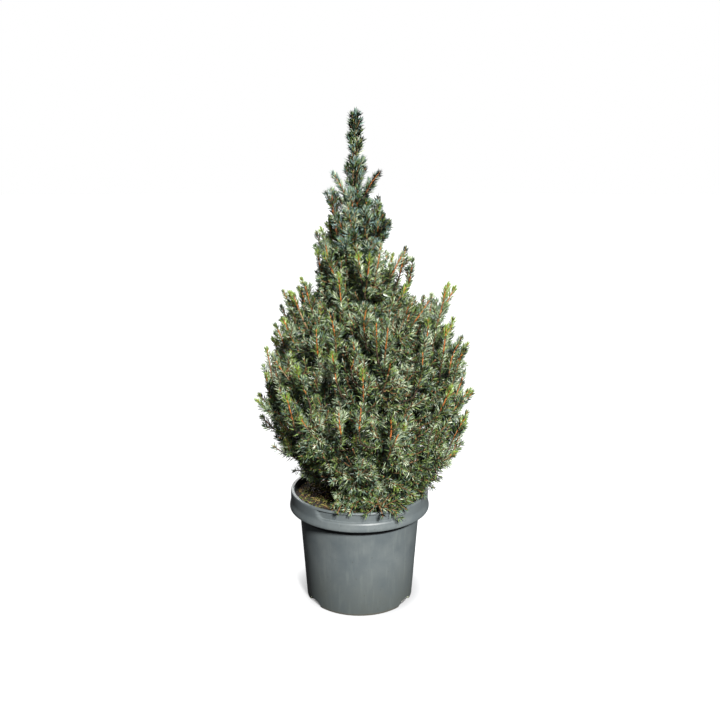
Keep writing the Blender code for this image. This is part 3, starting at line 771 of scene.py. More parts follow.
print(sum(tier.masses for tier in TIERS), "masses in", len(TIERS), "tiers")


# %% The trunk's line, and the crown's outline
def trunk_point(height):
    """The trunk's middle at a height: a slight lean, and a slight bow to the left."""
    share = (height - TRUNK_FOOT.z) / (TRUNK_TIP.z - TRUNK_FOOT.z)
    point = TRUNK_FOOT.lerp(TRUNK_TIP, share)
    point.x -= TRUNK_BOW * math.sin(math.pi * min(1.0, max(0.0, share)))
    return point


def trunk_radius(height):
    share = (height - TRUNK_FOOT.z) / (TRUNK_TIP.z - TRUNK_FOOT.z)
    radius = TRUNK_TIP_RADIUS + (TRUNK_RADIUS - TRUNK_TIP_RADIUS) * (1 - share) ** 1.15
    return radius * (1 + (FLARE - 1) * math.exp(-(height - TRUNK_FOOT.z) / FLARE_HEIGHT))


def crown_at(height):
    """The crown's radius at a height, or heights, and how far its middle lies to the right."""
    heights, radii, shifts = zip(*CROWN)
    return np.interp(height, heights, radii), np.interp(height, heights, shifts)


# %% The line of each mass
def leader_point(height):
    """A point on the trunk, or straight above its tip."""
    return np.array(trunk_point(height) if height < TRUNK_TIP.z else (TRUNK_TIP.x, TRUNK_TIP.y, height))


class Stem:
    """The line that a mass grows along, from the trunk's middle to its tip."""

    def __init__(self, tier, number, rng):
        self.name = f"{tier.name}_{number + 1}"
        self.thick = BOUGH_RADIUS if tier.bough else TWIG_RADIUS * 1.15
        angle = math.radians(tier.turn + 360 * number / tier.places)
        angle += math.radians(rng.uniform(-6, 6))
        tip_height = tier.tip + rng.uniform(-0.008, 0.006)
        radius, shift = crown_at(tip_height)
        reach = radius * tier.reach * rng.uniform(0.93, 1.0)
        root = trunk_point(tier.root)
        tip = Vector((math.cos(angle) * reach + shift, math.sin(angle) * reach, tip_height))
        span = tip - root
        knee = root + Vector((span.x * KNEE_OUT, span.y * KNEE_OUT, span.z * KNEE_UP))
        rng.random()  # the solids draw a number here too, so both stay in step
        self.corners = np.array([root, knee, tip])
        self.points = self.at(np.linspace(0.0, 1.0, STEM_STEPS + 1))
        self.headings = np.gradient(self.points, axis=0)
        self.headings /= np.linalg.norm(self.headings, axis=1)[:, None]
        self.length = np.linalg.norm(np.diff(self.points, axis=0), axis=1).sum()

    def at(self, shares):
        share = np.asarray(shares)[:, None]
        root, knee, tip = self.corners
        return root * (1 - share) ** 2 + knee * 2 * share * (1 - share) + tip * share**2


class Leader(Stem):
    """The top of the trunk and the tuft on it, read as one more stem."""

    def __init__(self):
        heights = np.linspace(0.50, TREE_TOP - TUFT_NEEDLES, STEM_STEPS + 1)
        self.points = np.array([leader_point(h) for h in heights])
        self.headings = np.tile((0.0, 0.0, 1.0), (STEM_STEPS + 1, 1))
        self.length = heights[-1] - heights[0]


rule_rng = random.Random(SEED)
stems = [Stem(tier, number, rule_rng) for tier in TIERS for number in range(tier.masses)]
leader = Leader()
print(len(stems), "stems, the longest", round(max(stem.length for stem in stems), 3), "m")

# %% [markdown]
# ## Trunk and boughs
#
# Young spruce bark is thin and grey-brown. It lifts in small scales, and the trunk carries
# knots where side shoots were shed. Paint or a bump map would look flat at the edge of the
# limb, so the scales are real relief: a round tube is bent along each limb, cut finely, and its
# corners are moved out and in by noise that is stretched along the limb.

# %% Bark
TRUNK_SIDES, TRUNK_ROWS, TRUNK_RELIEF = 24, 230, 0.16
BOUGH_SIDES, BOUGH_ROW, BOUGH_RELIEF = 9, 0.0035, 0.20  # BOUGH_ROW is the length of a row, in m
BOUGH_TAPER = 0.68
FOOT_SUNK = 0.004  # the trunk starts this far down in the mix
# the relief is scales, drawn out along Z, and lumps: the share of each, and how fine it is
SCALE_SHARE, SCALES_PER_METRE, SCALE_DRAW = 0.9, 420, 0.4
LUMP_SHARE, LUMPS_PER_METRE = 0.55, 90

spruce_bark, bark_shader = new_material("spruce_bark", "#76604a", 0.88, 1.45)
here = add_node(spruce_bark, "ShaderNodeTexCoord").outputs["Object"]
drawn_up = add_node(spruce_bark, "ShaderNodeMapping", {"Vector": here, "Scale": (1.0, 1.0, 0.45)})
scales = add_node(  # scales of bark, 3 mm wide
    spruce_bark, "ShaderNodeTexVoronoi",
    {"Vector": drawn_up.outputs["Vector"], "Scale": 330.0, "Randomness": 1.0},
)
blotches = add_node(  # lichen and weathering, 8 mm
    spruce_bark, "ShaderNodeTexNoise", {"Vector": here, "Scale": 120.0, "Detail": 5.0}
).outputs["Fac"]
add_node(
    spruce_bark, "ShaderNodeValToRGB", {"Fac": blotches},
    {"Color": bark_shader.inputs["Base Color"]},
    stops=((0.30, "#4d3b2c"), (0.50, "#8a6d50"), (0.66, "#b39a78"), (0.80, "#a9a390")),
)
add_node(
    spruce_bark, "ShaderNodeBump",
    {"Height": scales.outputs["Distance"], "Strength": 0.7, "Distance": 0.0006},
    {"Normal": bark_shader.inputs["Normal"]},
)


def frame_of(heading):
    """Two unit vectors square to a heading."""
    across = heading.cross(Vector((0, 0, 1)))
    if across.length < 0.05:
        across = heading.cross(Vector((0, 1, 0)))
    across.normalize()
    return across, across.cross(heading)


def add_limb(bm, path, radius, sides, rings, relief):
    """Adds a closed round tube bent along path(share), which gives a point and a heading."""
    limb = bmesh.new()
    bmesh.ops.create_cone(
        limb, cap_ends=True, segments=sides, radius1=1.0, radius2=1.0, depth=1.0,
        matrix=Matrix.Translation((0, 0, 0.5)),
    )
    upright = [edge for edge in limb.edges if abs(edge.verts[0].co.z - edge.verts[1].co.z) > 0.5]
    bmesh.ops.subdivide_edges(limb, edges=upright, cuts=rings - 1, use_grid_fill=True)
    for vertex in limb.verts:
        share = vertex.co.z
        centre, heading = path(share)
        across, over = frame_of(heading)
        side = across * vertex.co.x + over * vertex.co.y
        thick = radius(share)
        spot = centre + side * thick
        drawn_out = Vector((spot.x, spot.y, spot.z * SCALE_DRAW))
        rough = SCALE_SHARE * abs(noise.noise(drawn_out * SCALES_PER_METRE))
        rough += LUMP_SHARE * noise.noise(spot * LUMPS_PER_METRE)
        vertex.co = centre + side * thick * (1 + relief * rough)
    finished = bpy.data.meshes.new("limb")
    limb.to_mesh(finished)
    limb.free()
    bm.from_mesh(finished)
    bpy.data.meshes.remove(finished)


bark_bm = bmesh.new()


def trunk_path(share):
    height = GROUND - FOOT_SUNK + (TRUNK_TIP.z - GROUND + FOOT_SUNK) * share
    return trunk_point(height), Vector((0, 0, 1))


def trunk_width(share):
    return trunk_radius(max(GROUND, trunk_path(share)[0].z))


add_limb(bark_bm, trunk_path, trunk_width, TRUNK_SIDES, TRUNK_ROWS, TRUNK_RELIEF)
trunk = piece_from(bark_bm, "trunk_bark", spruce_bark)
dress(trunk, ["trunk"])

# %% Boughs, out to where the needles hide them
LIMB_END = 0.90  # share of a stem that has bark; some stems end early, so that they stay hidden
EARLY_END = {
    "spire_1": 0.58, "spire_2": 0.62, "leader_1": 0.93, "leader_2": 0.93, "neck_1": 0.86,
    "shoulder_1": 0.84, "skirt_2": 0.84,
}


def bough_path(stem, share):
    """A point and a heading at a share of the wooded part of a stem."""
    index = LIMB_END * share * EARLY_END.get(stem.name, 1.0) * STEM_STEPS
    low = min(STEM_STEPS - 1, int(index))
    point, heading = (
        Vector(rows[low]).lerp(Vector(rows[low + 1]), index - low) for rows in (stem.points, stem.headings)
    )
    return point, heading.normalized()


bough_bm = bmesh.new()
for stem in stems:
    add_limb(
        bough_bm, lambda share: bough_path(stem, share), lambda share: stem.thick * (1 - BOUGH_TAPER * share),
        BOUGH_SIDES, max(12, int(stem.length / BOUGH_ROW)), BOUGH_RELIEF,
    )
boughs = piece_from(bough_bm, "bough_bark", spruce_bark)
dress(boughs, sorted(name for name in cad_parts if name.startswith("bough_")))

# %% [markdown]
# ## Branches and side shoots
#
# From here on the rule is carried to finer wood. A real spruce fills the light: its branches
# end evenly over the skin of the crown, whatever they grew from. So the tips come first, set
# by turns of the golden angle in layers under the crown's skin, and each branch is then drawn
# back to the nearest stem, which it leaves at about 45 degrees. Tips over the rim droop, and
# the higher a tip is, the more it turns up. A few long leading shoots stand proud of the rest.

# %% Where leading shoots end, at the front and at the sides
# Shoots of the front: direction from the trunk, height of the tip, lean to the right and length
FRONT_SHOOTS = (
    (243, 0.551, -5, 0.070), (270, 0.515, 4, 0.045), (247, 0.504, -8, 0.062), (282, 0.488, 5, 0.050),
    (275, 0.494, -1, 0.040), (240, 0.481, -3, 0.045), (209, 0.432, -10, 0.070), (226, 0.379, -12, 0.050),
    (231, 0.421, -19, 0.045), (268, 0.425, -2, 0.050), (252, 0.447, -7, 0.042), (263, 0.464, 5, 0.038),
    (308, 0.491, 5, 0.050), (323, 0.476, 6, 0.066), (339, 0.439, 14, 0.066), (301, 0.450, 6, 0.058),
    (334, 0.528, 12, 0.060), (322, 0.578, 23, 0.056), (268, 0.378, 4, 0.040), (320, 0.387, 22, 0.060),
    (209, 0.523, -9, 0.048), (214, 0.536, -15, 0.055), (210, 0.484, -22, 0.040), (347, 0.365, 34, 0.045),
    (338, 0.329, 25, 0.045), (346, 0.260, 60, 0.042), (191, 0.339, -61, 0.036), (300, 0.522, 13, 0.040),
    (314, 0.517, 33, 0.050), (330, 0.476, 21, 0.042), (334, 0.448, 15, 0.050), (282, 0.361, 0, 0.036),
    (287, 0.335, 21, 0.040), (257, 0.369, -5, 0.036), (215, 0.577, -27, 0.034), (264, 0.580, -6, 0.036),
    (277, 0.578, 7, 0.055),
)
# Shoots that end the crown at its sides: tip across and up, lean to the right and length
SIDE_EDGE_SHOOTS = (
    (-0.068, 0.606, -15, 0.050), (-0.066, 0.579, -10, 0.045), (-0.094, 0.534, -25, 0.045),
    (-0.119, 0.520, -18, 0.055), (-0.126, 0.490, -30, 0.045), (-0.133, 0.465, -20, 0.040),
    (-0.150, 0.422, -8, 0.055), (-0.149, 0.385, -10, 0.045), (-0.171, 0.338, -60, 0.045),
    (-0.163, 0.307, -45, 0.040), (-0.140, 0.275, -55, 0.040), (-0.117, 0.250, -70, 0.038),
    (-0.098, 0.208, -80, 0.036),
    (0.072, 0.585, 12, 0.045), (0.083, 0.567, 10, 0.040), (0.079, 0.532, 20, 0.040),
    (0.115, 0.510, 10, 0.045), (0.140, 0.527, 15, 0.065), (0.128, 0.488, 12, 0.045),
    (0.148, 0.474, 15, 0.045), (0.163, 0.442, 20, 0.045), (0.175, 0.430, 25, 0.055),
    (0.169, 0.389, 20, 0.045), (0.184, 0.354, 35, 0.045), (0.180, 0.313, 30, 0.040),
    (0.168, 0.252, 60, 0.045), (0.104, 0.208, 60, 0.030),
)
print(len(FRONT_SHOOTS), "shoots of the front,", len(SIDE_EDGE_SHOOTS), "of the sides")

# %% Where shoots end in the narrow top and over the rim
# Shoots of the narrow top: tip across, away and up, lean to the right and length
SPIRE_SHOOTS = (
    (-0.043, 0.000, 0.697, -30, 0.040), (-0.040, 0.003, 0.693, -27, 0.034), (0.030, 0.001, 0.694, 31, 0.034),
    (-0.043, -0.006, 0.672, -10, 0.040), (-0.046, 0.000, 0.632, -15, 0.038),
    (0.033, -0.004, 0.697, 33, 0.038), (0.030, -0.006, 0.660, 16, 0.036), (0.050, 0.000, 0.624, 44, 0.038),
    (-0.016, -0.014, 0.660, -5, 0.030), (0.012, -0.022, 0.656, 10, 0.032), (-0.014, -0.026, 0.672, -6, 0.030),
    (-0.014, 0.024, 0.674, -10, 0.032), (0.010, 0.026, 0.664, 10, 0.032), (0.038, -0.016, 0.634, 30, 0.034),
    (0.047, -0.012, 0.612, 40, 0.036), (-0.018, -0.030, 0.650, -8, 0.038), (-0.040, 0.006, 0.668, -8, 0.036),
    (0.012, -0.034, 0.640, 8, 0.040), (-0.034, -0.026, 0.634, -14, 0.036), (0.030, -0.030, 0.624, 16, 0.036),
    (-0.008, -0.040, 0.618, -4, 0.040),
    (-0.002, -0.022, 0.676, 2, 0.034), (0.016, 0.034, 0.686, 12, 0.042), (-0.015, 0.034, 0.664, -8, 0.040),
    (0.034, 0.030, 0.642, 20, 0.038), (0.004, 0.042, 0.640, 4, 0.040), (-0.036, 0.028, 0.640, -18, 0.038),
    (0.044, 0.020, 0.622, 26, 0.036), (-0.016, 0.046, 0.618, -8, 0.038), (0.022, 0.044, 0.612, 12, 0.038),
    (-0.046, 0.016, 0.610, -22, 0.036), (0.020, -0.044, 0.600, 10, 0.040),
    (-0.030, -0.042, 0.600, -12, 0.040),
)
# Sprays that lie over the rim: direction, distance from the axis, height, droop and length
RIM_SPRAYS = (
    (259, 0.117, 0.193, 12, 0.045), (249, 0.111, 0.196, 8, 0.040), (301, 0.119, 0.190, 14, 0.045),
    (295, 0.116, 0.196, 6, 0.040), (313, 0.117, 0.195, 8, 0.040), (282, 0.108, 0.196, 10, 0.036),
    (267, 0.106, 0.196, 8, 0.036), (306, 0.121, 0.188, 16, 0.045), (321, 0.114, 0.197, 6, 0.040),
    (331, 0.112, 0.198, 4, 0.040), (343, 0.108, 0.200, 2, 0.040), (288, 0.114, 0.193, 12, 0.040),
    (254, 0.120, 0.189, 16, 0.042), (263, 0.119, 0.190, 16, 0.040), (297, 0.122, 0.187, 18, 0.042),
    (326, 0.104, 0.204, -2, 0.040), (337, 0.100, 0.205, -4, 0.040), (315, 0.110, 0.201, 0, 0.040),
)
print(len(SPIRE_SHOOTS), "shoots of the top,", len(RIM_SPRAYS), "sprays over the rim")

# %% Leading shoots
LAST_NEEDLES = 0.0065  # the last needles reach this far past the wood
FRONT_REACH = 0.94
STRONG, THIN = 0.00105, 0.00095  # radius of a shoot at its foot
Shoot = namedtuple("Shoot", "tip heading needled thick kind")
grow_rng = np.random.default_rng(SEED)


def unit(vector):
    return vector / np.linalg.norm(vector)


shoots = []
for direction, height, lean, length in FRONT_SHOOTS:
    radius, shift = crown_at(height)
    turn, lean = math.radians(direction), math.radians(lean)
    tip = np.array(
        [math.cos(turn) * radius * FRONT_REACH + shift, math.sin(turn) * radius * FRONT_REACH, height]
    )
    heading = unit(np.array([math.sin(lean), 0.16 * math.sin(turn), math.cos(lean)]))
    shoots.append(Shoot(tip - heading * LAST_NEEDLES, heading, length, STRONG, "leading"))
for across, height, lean, length in SIDE_EDGE_SHOOTS:
    lean = math.radians(lean)
    tip = np.array([across, grow_rng.normal(0, 0.010), height])
    heading = unit(np.array([math.sin(lean), grow_rng.normal(0, 0.08), math.cos(lean)]))
    shoots.append(Shoot(tip - heading * LAST_NEEDLES, heading, length, STRONG, "leading"))
for across, away, height, lean, length in SPIRE_SHOOTS:
    lean = math.radians(lean)
    heading = unit(np.array([math.sin(lean), away * 8, math.cos(lean)]))
    tip = np.array([across, away, height]) - heading * LAST_NEEDLES
    shoots.append(Shoot(tip, heading, length, THIN, "spire"))
for direction, away, height, droop, length in RIM_SPRAYS:
    turn, droop = math.radians(direction), math.radians(droop)
    out = np.array([math.cos(turn), math.sin(turn), 0.0])
    heading = out * math.cos(droop) - np.array([0, 0, math.sin(droop)])
    tip = np.array([out[0] * away, out[1] * away, height])
    shoots.append(Shoot(tip, heading, length, THIN, "inner"))
print(len(shoots), "leading shoots and rim sprays")

# %% Tips of the branches that fill the crown
Layer = namedtuple("Layer", "count low high reach needled kind")
LAYERS = (  # how many tips, the heights they lie between, their reach, and the needled length
    Layer(880, 0.200, 0.625, (0.88, 0.98), 0.044, "outer"),
    Layer(120, 0.186, 0.212, (0.55, 0.98), 0.044, "outer"),
    Layer(260, 0.195, 0.600, (0.64, 0.80), 0.044, "inner"),
    Layer(180, 0.200, 0.570, (0.40, 0.58), 0.038, "deep"),
    Layer(100, 0.210, 0.560, (0.14, 0.32), 0.034, "core"),
)
# The crown without its leading shoots: height, radius, and how far its middle lies to the right
BODY = (
    (0.185, 0.099, 0.006), (0.225, 0.120, 0.018), (0.253, 0.134, 0.021), (0.280, 0.151, 0.015),
    (0.334, 0.158, 0.006), (0.361, 0.149, 0.006), (0.414, 0.148, 0.010), (0.440, 0.132, 0.009),
    (0.465, 0.124, 0.008), (0.480, 0.108, 0.006), (0.495, 0.087, 0.002), (0.516, 0.066, -0.004),
    (0.554, 0.046, -0.008), (0.590, 0.041, -0.014), (0.615, 0.034, -0.004),
)
GAP_TURN, GAP_HALF, GAP_TOP = 218, 34, 0.226  # the mix shows here, at the front left
TIP_SPACING = 0.009
PROUD_SHARE, PROUD_BY = 0.17, 0.020  # how many tips of the first layer stand proud, and how far
PROUD_AWAY, PROUD_ABOVE = -0.03, 0.27  # these are at the sides and the back, and not low down
PROUD_LIFT, PROUD_LENGTH = 0.5, 1.15
# how far tips turn up, in degrees, by their height
RISE = ((0.185, -12), (0.200, 2), (0.235, 22), (0.280, 38), (0.340, 50), (0.440, 62), (0.540, 70))
RISE_STRAY, TURN_STRAY = 10, 0.40  # how far tips stray from that in degrees, and aside in radians


# %% How tips are spread
def tip_heading(tip, rng):
    """The way a shoot points at its tip: outwards over the rim, ever more up above it."""
    rise = math.radians(float(np.interp(tip[2], *zip(*RISE))) + rng.normal(0, RISE_STRAY))
    turn = math.atan2(tip[1], tip[0] - crown_at(tip[2])[1]) + rng.normal(0, TURN_STRAY)
    return np.array(
        [math.cos(turn) * math.cos(rise), math.sin(turn) * math.cos(rise), math.sin(rise)]
    )


def layer_tips(layer, phase):
    """Tips spread evenly over the skin of the body between two heights."""
    heights = np.linspace(layer.low, layer.high, 400)
    levels, body_radii, body_shifts = zip(*BODY)
    radii = np.interp(heights, levels, body_radii)
    strip = radii * np.sqrt(1 + np.gradient(radii, heights) ** 2)
    area = np.cumsum(strip)
    wanted = (np.arange(layer.count) + 0.5) / layer.count * area[-1]
    height = np.interp(wanted, area, heights) + grow_rng.normal(0, 0.004, layer.count)
    turn = GOLDEN_ANGLE * np.arange(layer.count) + phase + grow_rng.normal(0, 0.05, layer.count)
    reach = np.interp(height, levels, body_radii) * grow_rng.uniform(*layer.reach, layer.count)
    shift = np.interp(height, levels, body_shifts)
    return np.stack([np.cos(turn) * reach + shift, np.sin(turn) * reach, height], 1)


def in_gap(tip):
    turn = math.degrees(math.atan2(tip[1], tip[0]))
    return tip[2] < GAP_TOP and abs((turn - GAP_TURN + 180) % 360 - 180) < GAP_HALF


# %% Tips of the crown
taken = np.array([shoot.tip for shoot in shoots])
for number, layer in enumerate(LAYERS):
    for tip in layer_tips(layer, number * 1.9):
        if in_gap(tip) or np.linalg.norm(taken - tip, axis=1).min() < TIP_SPACING:
            continue
        heading = tip_heading(tip, grow_rng)
        kind, needled = layer.kind, layer.needled * grow_rng.uniform(0.85, 1.15)
        may_lead = number == 0 and tip[1] > PROUD_AWAY and tip[2] > PROUD_ABOVE
        if may_lead and grow_rng.random() < PROUD_SHARE:
            heading = unit(heading + np.array([0, 0, PROUD_LIFT]))
            tip = tip + heading * PROUD_BY
            kind, needled = "leading", needled * PROUD_LENGTH
        shoots.append(Shoot(tip, heading, needled, THIN, kind))
print(len(shoots), "branch tips")

# %% [markdown]
# ### From a tip back to its stem
#
# A branch is a cubic curve of four corners: it starts on the stem, leaves along the stem's own
# heading, and arrives at its tip along the tip's heading. Side shoots then leave the branch by
# turns of the golden angle, as the branches of the solids leave their stem. One that would
# leave the crown, or reach into the pot, is made shorter or left out.

# %% Back from a tip
LEAVE_BACK = 0.8  # how much nearer to the foot a branch leaves, for each metre it runs aside
SPIRE_DROP = 0.012
NEAR_FROM, NEAR_TO = 8, 78  # the steps of a stem that carry branches
FIRST_START = 5


def branch_back(shoot):
    """The four corners of the branch that ends in this shoot, and how far apart its ends are."""
    away, near, stem = math.inf, 0, leader
    if shoot.kind == "spire":  # from the leader, a little lower than its tip
        out = math.hypot(*(shoot.tip[:2] - leader.points[60, :2]))
        foot = shoot.tip[2] - LEAVE_BACK * out - SPIRE_DROP
        away, near = 0.0, int(np.abs(leader.points[:, 2] - foot).argmin())
    else:  # from the stem that comes nearest to it
        for candidate in (*stems, leader):
            gaps = np.linalg.norm(candidate.points - shoot.tip, axis=1)
            step = int(gaps[NEAR_FROM:NEAR_TO].argmin()) + NEAR_FROM
            if gaps[step] < away:
                away, near, stem = gaps[step], step, candidate
    back = int(STEM_STEPS * LEAVE_BACK * away / stem.length)
    start = max(FIRST_START, near - back)
    root, leave = stem.points[start], stem.headings[start]
    span = np.linalg.norm(shoot.tip - root)
    towards = (shoot.tip - root) / max(span, 1e-6)
    out = root + (leave * 0.5 + towards * 0.5) * span * 0.30
    back_from_tip = shoot.tip - shoot.heading * min(span * 0.62, shoot.needled * 1.1)
    return np.array([root, out, back_from_tip, shoot.tip]), span


# %% Curves
def on_curve(corners, share):
    """Points on cubic curves: corners (..., 4, 3) and share (...)."""
    t = np.asarray(share)[..., None]
    a, b, c, d = (corners[..., k, :] for k in range(4))
    return a * (1 - t) ** 3 + 3 * b * t * (1 - t) ** 2 + 3 * c * t**2 * (1 - t) + d * t**3


def along_curve(corners, share):
    """Unit headings on cubic curves."""
    t = np.asarray(share)[..., None]
    a, b, c, d = (corners[..., k, :] for k in range(4))
    way = (b - a) * (1 - t) ** 2 + 2 * (c - b) * t * (1 - t) + (d - c) * t**2
    return way / np.maximum(np.linalg.norm(way, axis=-1, keepdims=True), 1e-9)


def straight(start, span):
    """The corners of a straight curve."""
    return np.array([start + span * k / 3 for k in range(4)])


def short_shoot(foot, leave, finish, size):
    """The corners of a short shoot, from how it leaves its branch and how it ends."""
    tip = foot + leave * size * 0.45 + finish * size * 0.55
    return np.array([foot, foot + leave * size * 0.33, tip - finish * size * 0.33, tip])


# %% Branches and their side shoots
RIM_CLEAR = 0.0040
CROWN_SLACK = 0.0040
# One row for each twig: its curve, its radius at both ends, the share without needles, its kind
Twig = namedtuple("Twig", "corners thick thin bare kind")
SIDE_SHOOTS = {"leading": 2, "spire": 3, "outer": 2, "inner": 3, "deep": 3, "core": 2}
SIDE_LENGTH = {
    "leading": 0.020, "spire": 0.016, "outer": 0.020, "inner": 0.028, "deep": 0.028, "core": 0.028
}
SIDE_THICK, SIDE_THIN = 0.00085, 0.00060
SIDE_LEAVES = (0.72, 0.70)  # how a side shoot leaves its branch: along it, and aside
SIDE_ENDS = (0.78, 0.40, 0.45)  # and how it ends: along it, aside, and up
SIDE_TRIES = (1.0, 0.7, 0.45)  # one that would leave the crown is tried this much shorter
FOOT_THICK, TIP_THICK = 1.1, 0.75  # shares of a shoot's radius at its foot and its tip
CARRIER_FOOT, CARRIER_TIP = 1.3, 1.1  # and those of the older wood that carries it
SINGLE_ABOVE = 0.684  # the two highest arms of the narrow top have no side shoots
SPIRE_SLIM = 0.72
BOW = 0.0016  # how far the middle of a leading shoot may bow aside
OLD_WOOD_NEEDLED = 0.080  # last year's wood still has its needles over this length
FIRST_SIDE, LAST_SIDE = 0.060, 0.016  # side shoots leave between these distances from the tip
LEADING_SIDES = (0.05, 0.40)  # or these shares: the upper half of a leading shoot is one brush


def may_grow(point):
    """Whether a tip may be here: in the crown, and over or outside the pot."""
    radius, shift = crown_at(point[2])
    from_axis = math.hypot(point[0], point[1])
    in_crown = math.hypot(point[0] - shift, point[1]) < radius + CROWN_SLACK and point[2] < TREE_TOP
    off_pot = point[2] > POT_HEIGHT + RIM_CLEAR or from_axis > COLLAR_RADIUS + RIM_CLEAR
    return in_crown and off_pot


twigs = []
for shoot in shoots:
    if shoot.kind in ("leading", "spire"):  # a straight rod of this year's wood, on older wood
        foot = shoot.tip - shoot.heading * shoot.needled
        aside = grow_rng.normal(0, BOW, 3)
        aside -= shoot.heading * aside.dot(shoot.heading)
        corners = straight(foot, shoot.heading * shoot.needled)
        corners[1:3] += aside
        carrier, span = branch_back(shoot._replace(tip=foot, needled=OLD_WOOD_NEEDLED))
        old_bare = max(0.0, 1 - OLD_WOOD_NEEDLED / span)
        thick, thin = shoot.thick * CARRIER_FOOT, shoot.thick * CARRIER_TIP
        twigs.append(Twig(carrier, thick, thin, old_bare, "carrier"))
        span, bare = shoot.needled, 0.0
    else:
        corners, span = branch_back(shoot)
        bare = max(0.0, 1 - shoot.needled / span)
    slim = SPIRE_SLIM if shoot.kind == "spire" else 1.0
    thick, thin = shoot.thick * FOOT_THICK * slim, shoot.thick * TIP_THICK * slim
    twigs.append(Twig(corners, thick, thin, bare, shoot.kind))
    phase = grow_rng.uniform(0, 2 * math.pi)
    low, high = max(0.25, 1 - FIRST_SIDE / span), max(0.5, 1 - LAST_SIDE / span)
    if shoot.kind == "leading":
        low, high = LEADING_SIDES
    single = shoot.kind == "spire" and shoot.tip[2] > SINGLE_ABOVE
    count = 0 if single else SIDE_SHOOTS[shoot.kind]
    for side in range(count):
        share = low + (high - low) * (side + grow_rng.uniform(0.2, 0.8)) / count
        foot = on_curve(corners, share)
        heading = along_curve(corners, share)
        across, over = (np.array(v) for v in frame_of(Vector(heading)))
        turn = GOLDEN_ANGLE * side + phase
        aside = across * math.cos(turn) + over * math.sin(turn)
        lift = min(1.0, max(-0.3, (foot[2] - DROOP_HEIGHT) / (FULL_LIFT_HEIGHT - DROOP_HEIGHT)))
        leave = unit(heading * SIDE_LEAVES[0] + aside * SIDE_LEAVES[1])
        up = np.array([0, 0, SIDE_ENDS[2] * lift])
        finish = unit(heading * SIDE_ENDS[0] + aside * SIDE_ENDS[1] + up)
        length = SIDE_LENGTH[shoot.kind] * grow_rng.uniform(0.75, 1.2)
        for shorter in SIDE_TRIES:
            side_corners = short_shoot(foot, leave, finish, length * shorter)
            if may_grow(side_corners[3]):
                twigs.append(Twig(side_corners, SIDE_THICK, SIDE_THIN, 0.10, "side_" + shoot.kind))
                break
print(len(twigs), "twigs")

# %% The leader's own short shoots, in tufts, and the ends of the stems
TUFTS = (  # height, how many shoots and their length; bark shows between the groups
    (0.602, 5, 0.028), (0.618, 5, 0.027), (0.634, 5, 0.020), (0.662, 5, 0.020), (0.674, 6, 0.025),
    (0.686, 6, 0.022), (0.697, 5, 0.018), (0.719, 5, 0.014), (0.728, 6, 0.017), (0.738, 6, 0.016),
    (0.748, 5, 0.014), (0.758, 5, 0.012), (0.768, 5, 0.010),
)
TUFT_THICK, TUFT_THIN, TUFT_BARE = 0.0009, 0.0006, 0.05
NARROW_TOP, SKIRT_TOP = 0.62, 0.30  # stems that end above the one, or below the other
TOP_NEEDLED, STEM_NEEDLED = 0.100, 0.055

number = 0
for tuft_height, shoots_of_tuft, tuft_length in TUFTS:
    for _ in range(shoots_of_tuft):
        number += 1
        height = tuft_height + grow_rng.uniform(-0.003, 0.003)
        foot = leader_point(height)
        turn = GOLDEN_ANGLE * number
        out = np.array([math.cos(turn), math.sin(turn), 0.0])
        length = tuft_length * grow_rng.uniform(0.75, 1.2)
        leave, finish = unit(out + [0, 0, 1.0]), unit(out * 0.45 + [0, 0, 1.1])
        corners = short_shoot(foot, leave, finish, length)
        twigs.append(Twig(corners, TUFT_THICK, TUFT_THIN, TUFT_BARE, "leader"))
top_foot, top = np.array(TRUNK_TIP) - [0, 0, 0.12], leader_point(TREE_TOP - TUFT_NEEDLES)
corners = straight(top_foot, top - top_foot)
corners[0] = trunk_point(top_foot[2])
corners[1] = trunk_point(corners[1][2])
twigs.append(Twig(corners, 0.0016, 0.0010, 0.42, "top"))
for stem in stems:
    narrow_top = stem.corners[2, 2] > NARROW_TOP  # needled nearly from the trunk
    share = max(0.15, 1 - (TOP_NEEDLED if narrow_top else STEM_NEEDLED) / stem.length)
    last = EARLY_END.get(stem.name, 1.0)
    share = min(share, 0.40) if last < 1 else share
    root, knee, tip = stem.corners
    start, end = stem.at([share, last])
    bend = root * (1 - share) * (1 - last) + knee * (share + last - 2 * share * last) + tip * share * last
    corners = np.array([start, start + (bend - start) * 2 / 3, end + (bend - end) * 2 / 3, end])
    kind = "leader" if stem.name.startswith("leader") else "spire" if narrow_top else "leading"
    if tip[2] < SKIRT_TOP:
        kind = "outer"
    twigs.append(Twig(corners, 0.0012, 0.0008, 0.05, kind))
print(len(twigs), "twigs in all")

# %% [markdown]
# ### The wood of the twigs
#
# There are over five thousand twigs, so they are made from arrays at once: rings of points round
# each curve, joined by strips, and closed at both ends. This year's wood is bright orange-brown
# and smooth, last year's is browner, and older wood is dull grey-brown, so the twigs go into a
# few pieces by their age. The colours are plain: on such small tubes no pattern would show.


# %% Tubes from arrays
def square_to(ways, least):
    """Vectors square to the ways and to Z, or to another axis where a way is too upright."""
    square = np.cross(ways, (0.0, 0.0, 1.0))
    short = np.linalg.norm(square, axis=1) < least * np.linalg.norm(ways, axis=1)
    square[short] = np.cross(ways[short], (0.31, 0.95, 0.0))
    return square


